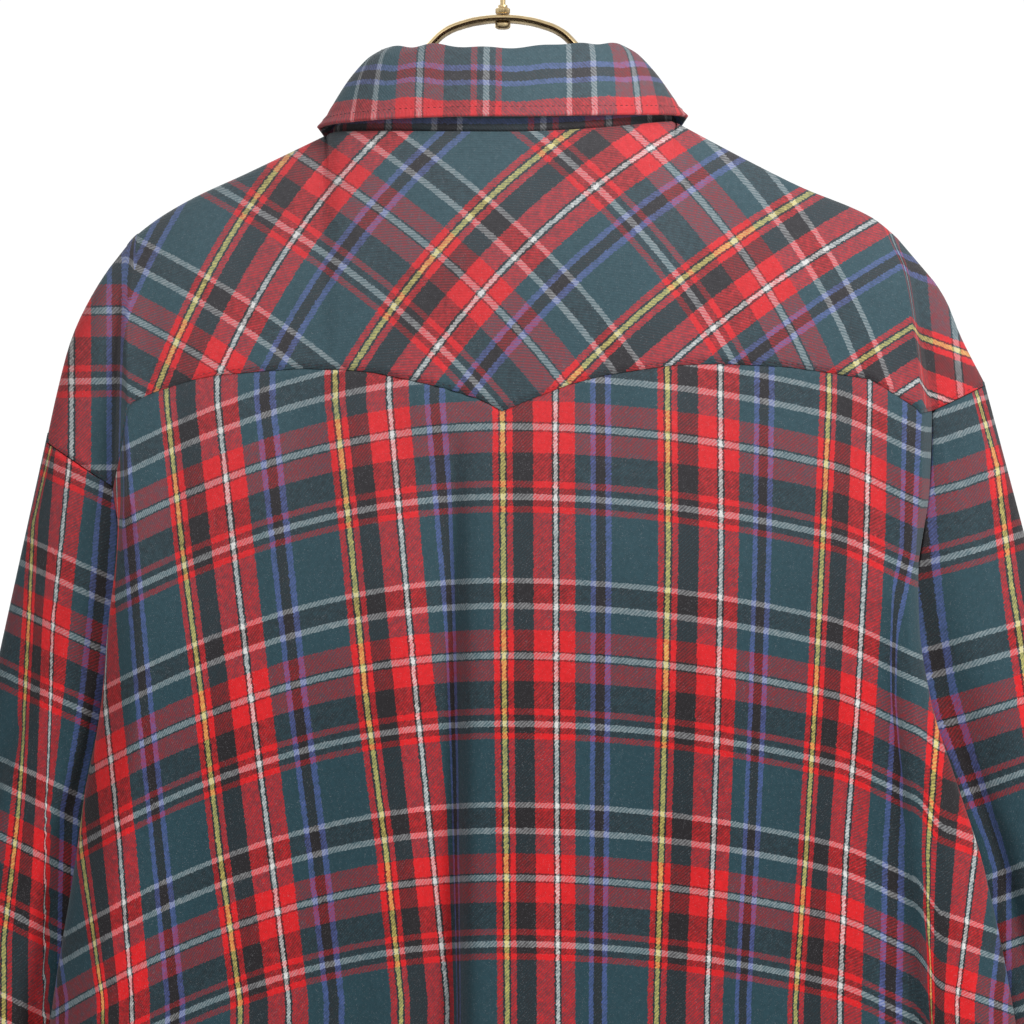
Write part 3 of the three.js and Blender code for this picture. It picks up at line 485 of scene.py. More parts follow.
class Cloth:
    """Makes a piece of cloth from a grid of points, with its pattern's coordinates."""

    def __init__(self, name: str, node: str, wrap: bool = False) -> None:
        """Names the piece and the solid that it stands for."""
        self.name = name
        self.node = node
        self.wrap = wrap

    def build(self, points: np.ndarray, pattern: np.ndarray, material: bpy.types.Material,
              toward: Sequence[float], wall: float = WALL, held: str = "hung",
              rests_on: Sequence[str] = ("hanger_bar",)) -> bpy.types.Object:
        """Args:
            points: Outer points, columns by rows by 3, mm.
            pattern: Repeats of the check along the warp's and the weft's count, columns by rows by 2.
                A tube has one column more, where it comes round to its start.
            material: The finish.
            toward: A direction that the outside faces at the middle of the grid.
            wall: Thickness, mm.
            held: How the cloth is held; not used.
            rests_on: What it hangs from; not used.

        Returns:
            The finished piece.
        """
        count, rows = points.shape[:2]
        mesh = bpy.data.meshes.new(self.name)
        i, j = np.meshgrid(np.arange(count if self.wrap else count - 1), np.arange(rows - 1), indexing="ij")
        after = (i + 1) % count
        quads = np.stack([i * rows + j, after * rows + j, after * rows + j + 1, i * rows + j + 1], -1)
        places = np.stack([i * rows + j, (i + 1) * rows + j, (i + 1) * rows + j + 1, i * rows + j + 1], -1)
        quads, places = quads.reshape(-1, 4), places.reshape(-1, 4)
        flat = points.reshape(-1, 3)
        mid = quads[len(quads) // 2]
        normal = np.cross(flat[mid[2]] - flat[mid[0]], flat[mid[3]] - flat[mid[1]])
        if np.dot(normal, toward) < 0:
            quads, places = quads[:, ::-1], places[:, ::-1]
        mesh.from_pydata((flat * MM).tolist(), [], quads.tolist())
        layer = mesh.uv_layers.new(name="cloth")
        uv = pattern.reshape(-1, 2)[places.ravel()]
        layer.data.foreach_set("uv", uv.astype(np.float32).ravel())
        piece = bpy.data.objects.new(self.name, mesh)
        bpy.context.collection.objects.link(piece)
        mesh.materials.append(material)
        mesh.polygons.foreach_set("use_smooth", [True] * len(mesh.polygons))
        solid = piece.modifiers.new("wall", "SOLIDIFY")
        solid.thickness = wall * MM
        solid.offset = -1
        select_only(piece)
        bpy.ops.object.modifier_apply(modifier=solid.name)
        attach(piece, "root")
        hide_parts(self.node)
        return piece


def select_only(piece: bpy.types.Object) -> None:
    """Makes one object the only one selected, and active."""
    bpy.ops.object.select_all(action="DESELECT")
    piece.select_set(True)
    bpy.context.view_layer.objects.active = piece


def shown(rgb: Sequence[float]) -> tuple[float, float, float, float]:
    """A colour given from 0 to 255, from 0 to 1 and still to be made linear."""
    return rgb[0] / 255, rgb[1] / 255, rgb[2] / 255, 1.0


def linear(rgb: Sequence[float]) -> tuple[float, float, float, float]:
    """A colour given from 0 to 255 as a shader's linear colour."""
    parts = [c / 255 for c in rgb]
    made = [c / 12.92 if c <= 0.04045 else ((c + 0.055) / 1.055) ** 2.4 for c in parts]
    return made[0], made[1], made[2], 1.0


class Shader:
    """A material's nodes, added one by one."""

    def __init__(self, name: str) -> None:
        """Starts a material with one Principled shader."""
        self.material = bpy.data.materials.new(name)
        self.material.use_nodes = True
        self.tree = self.material.node_tree
        self.surface = self.tree.nodes["Principled BSDF"]

    def node(self, kind: str, **settings: object) -> bpy.types.Node:
        """Adds a node and sets its options."""
        made = self.tree.nodes.new(f"ShaderNode{kind}")
        for key, value in settings.items():
            setattr(made, key, value)
        return made

    def feed(self, socket: bpy.types.NodeSocket, value: object) -> None:
        """Links or sets one input."""
        if isinstance(value, bpy.types.NodeSocket):
            self.tree.links.new(value, socket)
        else:
            socket.default_value = value

    def math(self, operation: str, a: object, b: object = 0.0, c: object = 0.0) -> bpy.types.NodeSocket:
        """One step of arithmetic."""
        made = self.node("Math", operation=operation)
        for socket, value in zip(made.inputs, (a, b, c)):
            self.feed(socket, value)
        return made.outputs[0]

    def blend(self, share: object, a: object, b: object, mode: str = "MIX") -> bpy.types.NodeSocket:
        """Two colours mixed."""
        made = self.node("Mix", data_type="RGBA", blend_type=mode, clamp_result=False)
        self.feed(made.inputs[0], share)
        self.feed(made.inputs[6], a)
        self.feed(made.inputs[7], b)
        return made.outputs[2]

    def noise(self, vector: bpy.types.NodeSocket, scale: float, detail: float = 2.0,
              roughness: float = 0.5) -> bpy.types.NodeSocket:
        """Noise from 0 to 1."""
        made = self.node("TexNoise", noise_dimensions="3D")
        self.feed(made.inputs["Vector"], vector)
        self.feed(made.inputs["Scale"], scale)
        self.feed(made.inputs["Detail"], detail)
        self.feed(made.inputs["Roughness"], roughness)
        return made.outputs["Fac"]

    def bump(self, height: bpy.types.NodeSocket, distance: float, strength: float = 1.0,
             normal: object = None) -> bpy.types.NodeSocket:
        """A bump of so many metres."""
        made = self.node("Bump")
        self.feed(made.inputs["Strength"], strength)
        self.feed(made.inputs["Distance"], distance)
        self.feed(made.inputs["Height"], height)
        if normal is not None:
            self.feed(made.inputs["Normal"], normal)
        return made.outputs["Normal"]

    def place(self) -> bpy.types.NodeSocket:
        """The point on the object, in metres."""
        return self.node("TexCoord").outputs["Object"]

    def set(self, **values: object) -> None:
        """Sets or links inputs of the Principled shader."""
        for key, value in values.items():
            self.feed(self.surface.inputs[key.replace("_", " ")], value)


class Yarn(Enum):
    """The dyed yarns, as colours from 0 to 255."""

    RED = (212, 40, 44)
    GREEN = (46, 70, 78)
    BLACK = (44, 42, 44)
    YELLOW = (218, 200, 104)
    WHITE = (226, 222, 218)
    BLUE = (80, 94, 154)
    GREY = (206, 208, 208)


# A stripe is the yarn that starts at so many pixels of the photograph from the first line's middle.
Stripe = tuple[float, Yarn]
WARP: tuple[Stripe, ...] = (
    (0, Yarn.YELLOW), (2, Yarn.BLACK), (4.4, Yarn.RED), (10, Yarn.BLACK), (31, Yarn.RED),
    (49.4, Yarn.BLACK), (51.7, Yarn.WHITE), (55.3, Yarn.BLACK), (57.4, Yarn.RED), (73, Yarn.GREEN),
    (88.5, Yarn.BLUE), (94, Yarn.BLACK), (103.5, Yarn.BLUE), (109, Yarn.GREEN), (156, Yarn.RED),
    (161.6, Yarn.BLACK), (164, Yarn.YELLOW),
)
WEFT: tuple[Stripe, ...] = (
    (0, Yarn.GREY), (3, Yarn.BLACK), (5, Yarn.RED), (25.5, Yarn.BLACK), (53, Yarn.RED),
    (59, Yarn.BLACK), (65, Yarn.GREY), (71.3, Yarn.BLACK), (78, Yarn.RED), (84, Yarn.GREEN),
    (149, Yarn.GREY), (155, Yarn.BLACK), (175, Yarn.GREY), (181, Yarn.GREEN), (202, Yarn.RED),
    (222, Yarn.BLACK), (224, Yarn.GREY),
)
WARP_REPEAT, WEFT_REPEAT = 166.0, 227.0   # px of the photograph


@dataclass(frozen=True)
class TartanFlannel:
    """Brushed two-over-two twill in a tartan check."""

    warp_threads: int = 184    # in one repeat
    weft_threads: int = 252
    float_share: float = 0.62  # how much of the face the warp covers
    fade: float = 0.2          # strength of the painted pale haze over the collar and the shoulders, a painted glare at the top

    def ramp(self, shader: Shader, place: bpy.types.NodeSocket, stripes: tuple[Stripe, ...],
             repeat: float) -> bpy.types.NodeSocket:
        """Colours of one set of threads from its place in the repeat."""
        made = shader.node("ValToRGB")
        made.color_ramp.interpolation = "CONSTANT"
        stops = made.color_ramp.elements
        stops[0].position, stops[0].color = 0.0, shown(stripes[0][1].value)
        stops.remove(stops[1])
        for start, yarn in stripes[1:]:
            stops.new(start / repeat).color = shown(yarn.value)
        shader.feed(made.inputs["Fac"], shader.math("FRACT", place))
        return made.outputs["Color"]

    def make(self) -> bpy.types.Material:
        """Builds the material."""
        s = Shader("tartan_flannel")
        uv = s.node("UVMap", uv_map="cloth").outputs["UV"]
        split = s.node("SeparateXYZ")
        s.feed(split.inputs[0], uv)
        across, along = split.outputs[0], split.outputs[1]
        place = s.place()
        fuzz = s.noise(place, 900, 1)
        fuzz_other = s.noise(place, 1150, 1)
        wander = s.math("MULTIPLY_ADD", fuzz, 0.02, -0.01)
        wander_other = s.math("MULTIPLY_ADD", fuzz_other, 0.014, -0.007)
        warp = self.ramp(s, s.math("ADD", across, wander), WARP, WARP_REPEAT)
        weft = self.ramp(s, s.math("ADD", along, wander_other), WEFT, WEFT_REPEAT)
        warp_count = s.math("MULTIPLY", across, self.warp_threads / 4)
        weft_count = s.math("MULTIPLY", along, self.weft_threads / 4)
        twill = s.math("FRACT", s.math("ADD", warp_count, weft_count))
        ridge = s.math("ABSOLUTE", s.math("MULTIPLY_ADD", twill, 2.0, -1.0))
        nap = s.noise(place, 420, 3, 0.6)
        cover = s.math("MULTIPLY_ADD", ridge, 0.34, self.float_share - 0.17)
        cover = s.math("ADD", cover, s.math("MULTIPLY_ADD", nap, 0.7, -0.35))
        mixed = s.blend(s.math("MINIMUM", s.math("MAXIMUM", cover, 0.0), 1.0), weft, warp)
        height = s.node("SeparateXYZ")
        s.feed(height.inputs[0], place)
        # Painted haze: the cloth is washed toward pale grey more the higher it hangs, from none at z = -0.46
        # m to the full share at z = -0.12 m, standing in for glare at the top.
        painted_top_haze = s.math("MULTIPLY_ADD", height.outputs[2], 1 / 0.34, 1 + 0.12 / 0.34)
        painted_top_haze = s.math("MULTIPLY", s.math("MINIMUM", s.math("MAXIMUM", painted_top_haze, 0.0), 1.0), self.fade)
        mixed = s.blend(painted_top_haze, mixed, shown((196, 200, 206)))
        dyed = s.node("Gamma")
        s.feed(dyed.inputs[0], mixed)
        dyed.inputs[1].default_value = 2.2
        shade = s.noise(place, 14, 2)
        light = s.math("ADD", s.math("MULTIPLY", nap, 0.5), s.math("MULTIPLY_ADD", shade, 0.14, 0.68))
        tone = s.node("CombineColor")
        for socket in tone.inputs[:3]:
            s.feed(socket, light)
        colour = s.blend(1.0, dyed.outputs[0], tone.outputs[0], "MULTIPLY")
        lint = s.math("GREATER_THAN", s.noise(place, 2200, 0), 0.73)
        colour = s.blend(s.math("MULTIPLY", lint, 0.25), colour, linear((150, 150, 155)))
        weave = s.bump(ridge, 0.00018, 0.5)
        s.set(Base_Color=colour, Roughness=0.92, Normal=s.bump(nap, 0.0006, 0.5, weave),
              Sheen_Weight=0.12, Sheen_Roughness=0.45)
        s.surface.inputs["Specular IOR Level"].default_value = 0.18
        return s.material


@dataclass(frozen=True)
class SewingThread:
    """Spun polyester thread, a shade darker than the cloth."""

    colour: tuple[int, int, int] = (58, 40, 46)

    def make(self) -> bpy.types.Material:
        """Builds the material."""
        s = Shader("sewing_thread")
        strand = s.noise(s.place(), 2600, 1)
        colour = s.blend(strand, linear(self.colour), linear([min(255, c + 34) for c in self.colour]))
        s.set(Base_Color=colour, Roughness=0.6, Normal=s.bump(strand, 0.0001, 0.4))
        return s.material


@dataclass(frozen=True)
class Pearl:
    """Pearl dome of a snap."""

    def make(self) -> bpy.types.Material:
        """Builds the material."""
        s = Shader("pearl")
        place = s.place()
        cloud = s.noise(place, 260, 4, 0.6)
        colour = s.blend(cloud, linear((214, 208, 198)), linear((246, 242, 238)))
        s.set(Base_Color=colour, Roughness=s.math("MULTIPLY_ADD", cloud, 0.15, 0.12),
              Coat_Weight=0.7, Coat_Roughness=0.06, Normal=s.bump(cloud, 0.0001, 0.3))
        return s.material


@dataclass(frozen=True)
class PlatedMetal:
    """Metal with darker patches where the plating has aged."""

    name: str
    bright: tuple[int, int, int]
    dark: tuple[int, int, int]
    roughness: float
    patina: float

    def make(self) -> bpy.types.Material:
        """Builds the material."""
        s = Shader(self.name)
        place = s.place()
        patch = s.noise(place, 55, 5, 0.62)
        grain = s.noise(place, 900, 3, 0.6)
        aged = s.math("MULTIPLY", s.math("MULTIPLY_ADD", patch, 3.2, -1.2), self.patina)
        aged = s.math("MINIMUM", s.math("MAXIMUM", aged, 0.0), 1.0)
        colour = s.blend(aged, linear(self.bright), linear(self.dark))
        worn = s.math("MULTIPLY_ADD", grain, 0.14, self.roughness)
        rough = s.math("ADD", s.math("MULTIPLY", aged, 0.18), worn)
        s.set(Base_Color=colour, Metallic=1.0, Roughness=rough, Normal=s.bump(grain, 0.00006, 0.35))
        return s.material


class LineRow(NamedTuple):
    """Where one line of the warp shows on the back panel: x at five heights of the photograph."""

    count: tuple[float, ...]
    x400: float
    x550: float
    x700: float
    x850: float
    x1000: float


class BackCheck:
    HEIGHTS = (400, 550, 700, 850, 1000)
    # A line's count is in px from the middle yellow line, one for all heights or one for each.
    LINES = (
        LineRow((-664,), -58, -50, -42, -22, 2),
        LineRow((-498,), 52, 60, 66, 81, 103),
        LineRow((-444.5,), 86, 97, 104.5, 119.5, 131),
        LineRow((-332,), 166, 182, 202, 219, 240),
        LineRow((-278.5,), 217, 233.5, 251, 270, 288.5),
        LineRow((-166,), 335, 351.5, 366, 386, 401),
        LineRow((-112.5,), 389, 402.5, 416, 431.5, 447),
        LineRow((-51.5, -68.5, -83.5, -97, -108), 450, 446, 445, 447, 451),
        LineRow((-38, -38, -39, -43, -44), 464, 465, 465, 463, 463),
        LineRow((0,), 502, 503, 504, 506, 507),
        LineRow((53.5,), 555, 555.5, 556, 557, 558),
        LineRow((166,), 667, 668, 665, 661, 656),
        LineRow((219.5,), 720, 721, 718, 713, 707),
        LineRow((332,), 829, 822, 815, 806, 795),
        LineRow((385.5,), 869, 865, 857, 845, 839),
        LineRow((402, 405, 422, 446, 462), 884, 884.5, 892, 909, 925),
        LineRow((410, 412, 462, 480, 496), 892, 892, 901, 917, 930),
        LineRow((498, 498, 498, 498, 512), 976, 962, 939, 927, 935),
        LineRow((551.5,), 1028, 1010, 988, 975, 956),
        LineRow((664,), 1130, 1110, 1090, 1075, 1060),
    )
    # Heights of the weft's lines at the middle, px, and their count from the first grey line.
    WEFT_Y = (300, 351, 376, 426, 496, 580, 605, 655, 723, 804, 830, 877, 943, 2000)
    WEFT_COUNT = (-126, -75, -49, 0, 68, 152, 178, 227, 295, 379, 405, 454, 522, 1579)

    def __init__(self) -> None:
        """Turns the chart into arrays."""
        self.x = np.array([line[1:] for line in self.LINES], float)
        self.count = np.array([line.count * 5 if len(line.count) == 1 else line.count
                               for line in self.LINES], float)

    def at(self, px: np.ndarray, py: np.ndarray) -> np.ndarray:
        """Repeats of the check at pixels of the photograph."""
        flat_x, flat_y = np.ravel(px), np.clip(np.ravel(py), 400, 1000)
        place = np.interp(flat_y, self.HEIGHTS, np.arange(5))
        low = np.minimum(place.astype(int), 3)
        share = place - low
        lines_x = mix(self.x[:, low], self.x[:, low + 1], share)
        counts = mix(self.count[:, low], self.count[:, low + 1], share)
        lines_x = np.maximum.accumulate(lines_x + np.arange(len(lines_x))[:, None] * 1e-3, axis=0)
        warp = np.array([np.interp(x, lines_x[:, k], counts[:, k]) for k, x in enumerate(flat_x)])
        return np.stack([warp.reshape(np.shape(px)) / WARP_REPEAT, self.weft(px, py)], -1)

    def weft(self, px: np.ndarray, py: np.ndarray) -> np.ndarray:
        """Repeats of the weft's lines, which sag toward both sides."""
        away = np.asarray(px, float) - 502
        sag = np.where(away < 0, 6.8e-4, 3.6e-4) * away ** 2
        sag += np.where(away > 0, 14, 0) * smooth(330, 430, np.abs(away))
        sag += 25 * smooth(412, 440, away) * smooth(650, 900, py)
        return np.interp(py - sag, self.WEFT_Y, self.WEFT_COUNT) / WEFT_REPEAT


class YokeTerm(NamedTuple):
    """One term of the yoke's bias check: powers of x and y, and its weights in px."""

    power_x: int
    power_y: int
    warp: float
    weft: float


class CapCheck(NamedTuple):
    x: float
    y: float
    warp: float
    weft: float
    warp_x: float
    warp_y: float
    weft_x: float
    weft_y: float


class YokeCheck:
    TERMS = (
        YokeTerm(0, 0, 53.6, -45.0), YokeTerm(0, 1, 93.1, 109.5), YokeTerm(0, 2, -5.8, -6.8),
        YokeTerm(0, 3, 3.6, 1.0), YokeTerm(1, 0, 251.0, -277.2), YokeTerm(1, 1, 31.4, -31.9),
        YokeTerm(1, 2, 7.5, -10.9), YokeTerm(2, 0, -49.6, -51.3), YokeTerm(2, 1, 8.0, -2.5),
        YokeTerm(3, 0, 17.7, -2.1),
    )
    LEFT_CAP = CapCheck(110, 310, -240, 227, 1.0, 0.0, 0.02, 0.97)
    RIGHT_CAP = CapCheck(957, 352, 334, -454, -0.36, 1.0, -1.1, 0.1)

    def main(self, px: np.ndarray, py: np.ndarray) -> np.ndarray:
        """Counts in px between the two creases."""
        a, b = (px - 512) / 400, (py - 260) / 150
        warp = sum(term.warp * a ** term.power_x * b ** term.power_y for term in self.TERMS)
        weft = sum(term.weft * a ** term.power_x * b ** term.power_y for term in self.TERMS)
        return np.stack([warp, weft], -1)

    def cap(self, row: CapCheck, px: np.ndarray, py: np.ndarray) -> np.ndarray:
        """Counts in px on a cap."""
        dx, dy = px - row.x, py - row.y
        return np.stack([row.warp + row.warp_x * dx + row.warp_y * dy,
                         row.weft + row.weft_x * dx + row.weft_y * dy], -1)

    def at(self, side: Side, beyond: np.ndarray, px: np.ndarray, py: np.ndarray) -> np.ndarray:
        """Repeats of the check; beyond is 0 inside the crease and 1 on the cap."""
        cap = self.cap(self.LEFT_CAP if side is LEFT else self.RIGHT_CAP, px, py)
        counts = mix(self.main(px, py), cap, np.asarray(beyond)[..., None])
        return counts / (WARP_REPEAT, WEFT_REPEAT)


BACK_CHECK = BackCheck()
YOKE_CHECK = YokeCheck()


def stations(inner: float, outer: float, step: float,
             close: Iterable[tuple[float, float, float]] = ()) -> list[float]:
    """Places between two ends, closer together in the given stretches.

    Args:
        inner: The first place.
        outer: The last place.
        step: The common distance, mm.
        close: Stretches as (start, end, distance).

    Returns:
        The places in rising order.
    """
    made = [inner]
    while made[-1] < outer - 1e-6:
        here = step
        for start, end, finer in close:
            if start <= made[-1] < end:
                here = finer
        made.append(min(outer, made[-1] + here))
    return made


def arcs(points: np.ndarray) -> np.ndarray:
    """Length along the first axis of a grid of points, mm, from its first row."""
    steps = np.linalg.norm(np.diff(points, axis=0), axis=-1)
    return np.concatenate([np.zeros((1,) + steps.shape[1:]), np.cumsum(steps, axis=0)])


class Panels:
    """The pieces of the body: yokes, back panel, fronts and placket."""

    MAIN_STEP, WALL_STEP, CAP_STEP = 3.2, 17, 18
    NECK_TRIM = math.sqrt(2.2 * GAP / FALL)
    ROLL_ROWS = 0.2

    def __init__(self, flannel: bpy.types.Material) -> None:
        """Keeps the finish."""
        self.flannel = flannel

    def main(self, side: Side, face: Face, start: float = 0.0) -> list[Column]:
        """Columns on the flat of the body."""
        close = [(14, 34, 1.5)] if face is Face.BACK and side is LEFT else []
        corner = getattr(side.rows[0], BODY.named(face, "corner"))
        close.append((corner - 10, corner, 2.0))
        return [Column(side, Zone.MAIN, x) for x in stations(start, corner, self.MAIN_STEP, close)]

    def wall(self, side: Side) -> list[Column]:
        """Columns round the crease at the arm."""
        return [Column(side, Zone.WALL, w) for w in np.linspace(0, 1, self.WALL_STEP)[1:]]

    def cap(self, side: Side) -> list[Column]:
        """Columns on the shoulder outside the crease."""
        inner, _, outer, _ = side.arm
        shares = np.sin(np.linspace(0, math.pi / 2, self.CAP_STEP))[1:]
        return [Column(side, Zone.CAP, mix(inner, outer - 1, share)) for share in shares]

    def across(self, right: list[Column], left: list[Column]) -> list[Column]:
        """Columns from the wearer's right to the left."""
        return right[:0:-1] + left

    @staticmethod
    def puckers(points: np.ndarray, rows: np.ndarray, depth: float, pitch: float) -> np.ndarray:
        """Small uneven gathers that a seam draws in the cloth beside it.

        Args:
            points: The grid, columns by rows.
            rows: How much each row takes part, 0 to 1.
            depth: Height of a gather, mm.
            pitch: Distance from one to the next, mm.

        Returns:
            The moved points.
        """
        x = points[..., 0]
        wave = np.sin(2 * math.pi * x / pitch + 1.7 * np.sin(x / 17)) * (0.6 + 0.4 * np.sin(x / 29 + 1))
        moved = points.copy()
        moved[..., 1] += depth * wave * rows * np.sign(points[..., 1].mean())
        return moved

    def back_yoke(self) -> tuple[np.ndarray, list[Column]]:
        """Builds the back yoke."""
        columns = self.across(self.main(RIGHT, Face.BACK) + self.wall(RIGHT) + self.cap(RIGHT),
                              self.main(LEFT, Face.BACK) + self.wall(LEFT) + self.cap(LEFT))
        t = np.linspace(0, 1, 56)
        grid, pattern = [], []
        for column in columns:
            side = column.side
            top = BODY.column_top(Face.BACK, column)
            shoulder = column.zone is not Zone.MAIN or column.at >= NECK_HALF
            seam = BODY.yoke_seam(Face.BACK, column) + 0.05
            reach = math.sqrt(max(0.0, top - seam) / FALL)
            if shoulder:
                grown = smooth(NECK_HALF - 2, 108, column.at) if column.zone is Zone.MAIN else 1.0
                front = min(FRONT_ROLL * float(grown), reach)
                p = np.where(t < self.ROLL_ROWS, front * (t / self.ROLL_ROWS - 1),
                             reach * (t - self.ROLL_ROWS) / (1 - self.ROLL_ROWS))
            else:
                p = mix(self.NECK_TRIM, reach, t)
            z = top - FALL * p * p
            back = BODY.points(Face.BACK, column, z)
            line = np.where((p < 0)[:, None], BODY.points(Face.FRONT, column, z), back)
            px, py = View.pixel(line)
            rolled = p < 0
            if rolled.any():
                first = int(np.argmax(~rolled))
                over = np.linalg.norm(line - line[first], axis=-1) / View.PIXEL
                px = np.where(rolled, px[first], px)
                py = np.where(rolled, py[first] - over, py)
            beyond = {Zone.MAIN: 0.0, Zone.CAP: 1.0}.get(column.zone, float(smooth(0, 0.9, column.at)))
            pattern.append(YOKE_CHECK.at(side, np.full(len(z), beyond), px, py))
            grid.append(line)
        points = np.array(grid)
        edge = np.exp(-((1 - t) / 0.035) ** 2)
        points[..., 1] += 0.45 * edge * (np.abs(points[..., 1]) > 4)
        points = self.puckers(points, np.exp(-((1 - t) / 0.06) ** 2), 0.25, 8.5)
        Cloth("yoke_back", "back_yoke").build(points, np.array(pattern), self.flannel, (0, 1, 0))
        return points, columns

    def panel_rows(self, face: Face, column: Column, top: float, t: np.ndarray) -> np.ndarray:
        """Points of one column of a panel, whose top edge tucks under the yoke."""
        hem = BODY.hem(face, column)
        z = mix(top, hem, t)
        trimmed = column
        if column.zone is Zone.WALL and column.at == 1:
            trimmed = Column(column.side, Zone.WALL, 1 - GAP / 2 / 55)
        line = BODY.points(face, trimmed, z)
        turn = np.exp(-((z - hem) / 7.0) ** 2)
        way = 1 if face is Face.BACK else -1
        lean = 0.5 if column.zone is Zone.WALL else 1.0
        ripple = np.sin(line[:, 0] / 3.1 + 1.4 * np.sin(line[:, 0] / 11))
        line[:, 1] += way * lean * turn * (0.5 + 0.3 * ripple)
        return line

    def back_panel(self) -> np.ndarray:
        """Builds the back panel."""
        columns = self.across(self.main(RIGHT, Face.BACK) + self.wall(RIGHT),
                              self.main(LEFT, Face.BACK) + self.wall(LEFT))
        t = np.linspace(0, 1, 200)
        tops = [BODY.yoke_seam(Face.BACK, c) - 0.1 for c in columns]
        points = np.array([self.panel_rows(Face.BACK, c, top, t) for c, top in zip(columns, tops)])
        px, py = View.pixel(points)
        pattern = BACK_CHECK.at(px, py)
        pattern = self.carry_on(points, columns, pattern)
        Cloth("panel_back", "back_panel").build(points, pattern, self.flannel, (0, 1, 0))
        return points

    @staticmethod
    def carry_on(points: np.ndarray, columns: list[Column], pattern: np.ndarray) -> np.ndarray:
        """Counts the warp on by the cloth's own width where it turns out of sight at the sides."""
        shown = [k for k, c in enumerate(columns) if c.zone is Zone.MAIN or c.at <= 0.38]
        first, last = shown[0], shown[-1]
        out = pattern.copy()
        right = arcs(points[first::-1])
        left = arcs(points[last:])
        out[first::-1, :, 0] = pattern[first, :, 0] + right / View.PIXEL / WARP_REPEAT
        out[last:, :, 0] = pattern[last, :, 0] - left / View.PIXEL / WARP_REPEAT
        fall = points[..., 2]
        for edge, rest in ((first, slice(0, first)), (last, slice(last + 1, None))):
            drop = (fall[edge] - fall[rest]) / View.PIXEL / WEFT_REPEAT
            out[rest, :, 1] = pattern[edge, :, 1] + drop
        return out

    @staticmethod
    def front_pattern(points: np.ndarray, columns: list[Column]) -> np.ndarray:
        middle = int(np.argmin(np.abs(points[:, 0, 0])))
        along = np.zeros(points.shape[:2])
        along[middle:] = arcs(points[middle:])
        along[middle::-1] = -arcs(points[middle::-1])
        way = np.sign(points[-1, 0, 0] - points[0, 0, 0])
        start = points[middle, :, 0] * way
        sag = 1.2e-4 * points[..., 0] ** 2
        weft = (-298.7 - points[..., 2] - sag) / View.PIXEL / WEFT_REPEAT
        return np.stack([-way * (start + along) / View.PIXEL / WARP_REPEAT, weft], -1)

    def front_top(self, column: Column) -> float:
        """Height of a front's top edge: the neck seam by the placket, elsewhere the yoke seam."""
        if column.zone is Zone.MAIN and column.at <= PLACKET_HALF:
            return float(BODY.top_z(Face.FRONT, column.side, column.at)) - 2 * GAP
        return BODY.yoke_seam(Face.FRONT, column) - 0.1

    def front(self, side: Side, t: np.ndarray) -> np.ndarray:
        """Builds one front; the wearer's left one laps over the right one."""
        other = RIGHT if side is LEFT else LEFT
        reach = PLACKET_HALF - GAP / 2 if side is LEFT else 14.0
        lap = [Column(other, Zone.MAIN, x) for x in np.linspace(reach, 0, 6)[:-1]]
        inner = [Column(side, Zone.MAIN, x) for x in np.linspace(0, PLACKET_HALF, 7)]
        outer = [c for c in self.main(side, Face.FRONT, PLACKET_HALF + 0.1)]
        columns = lap + inner + outer + self.wall(side)
        points = np.array([self.panel_rows(Face.FRONT, c, self.front_top(c), t) for c in columns])
        pattern = self.front_pattern(points, columns)
        if side is RIGHT:
            x = np.array([c.side.sign * c.at if c.zone is Zone.MAIN else -99 for c in columns])
            under = 1 - smooth(PLACKET_HALF + 0.05, PLACKET_HALF + 6, -x)
            points[..., 1] += LAP * under[:, None]
        Cloth(f"front_{side.name}_cloth", f"front_{side.name}").build(
            points, pattern, self.flannel, (0, -1, 0))
        return points

    def placket(self, t: np.ndarray) -> np.ndarray:
        """Builds the snap placket on the left front."""
        xs = np.linspace(-PLACKET_HALF + GAP / 2, PLACKET_HALF, 15)
        columns = [Column(RIGHT if x < 0 else LEFT, Zone.MAIN, abs(x)) for x in xs]
        points = np.array([self.panel_rows(Face.FRONT, c, self.front_top(c), t) for c in columns])
        pattern = self.front_pattern(points, columns)
        edge = np.exp(-((PLACKET_HALF - np.abs(xs)) / 1.6) ** 2)[:, None]
        rows = np.arange(len(t)) * 3.4
        beside = np.exp(-((PLACKET_HALF - np.abs(xs)) / 6) ** 2)[:, None]
        pucker = 0.22 * np.sin(rows / 1.9 + 1.3 * np.sin(rows / 23)) * beside
        points[..., 1] -= WALL + GAP - 0.5 * edge + 0.4 + pucker
        Cloth("placket_cloth", "placket").build(points, pattern, self.flannel, (0, -1, 0))
        return points

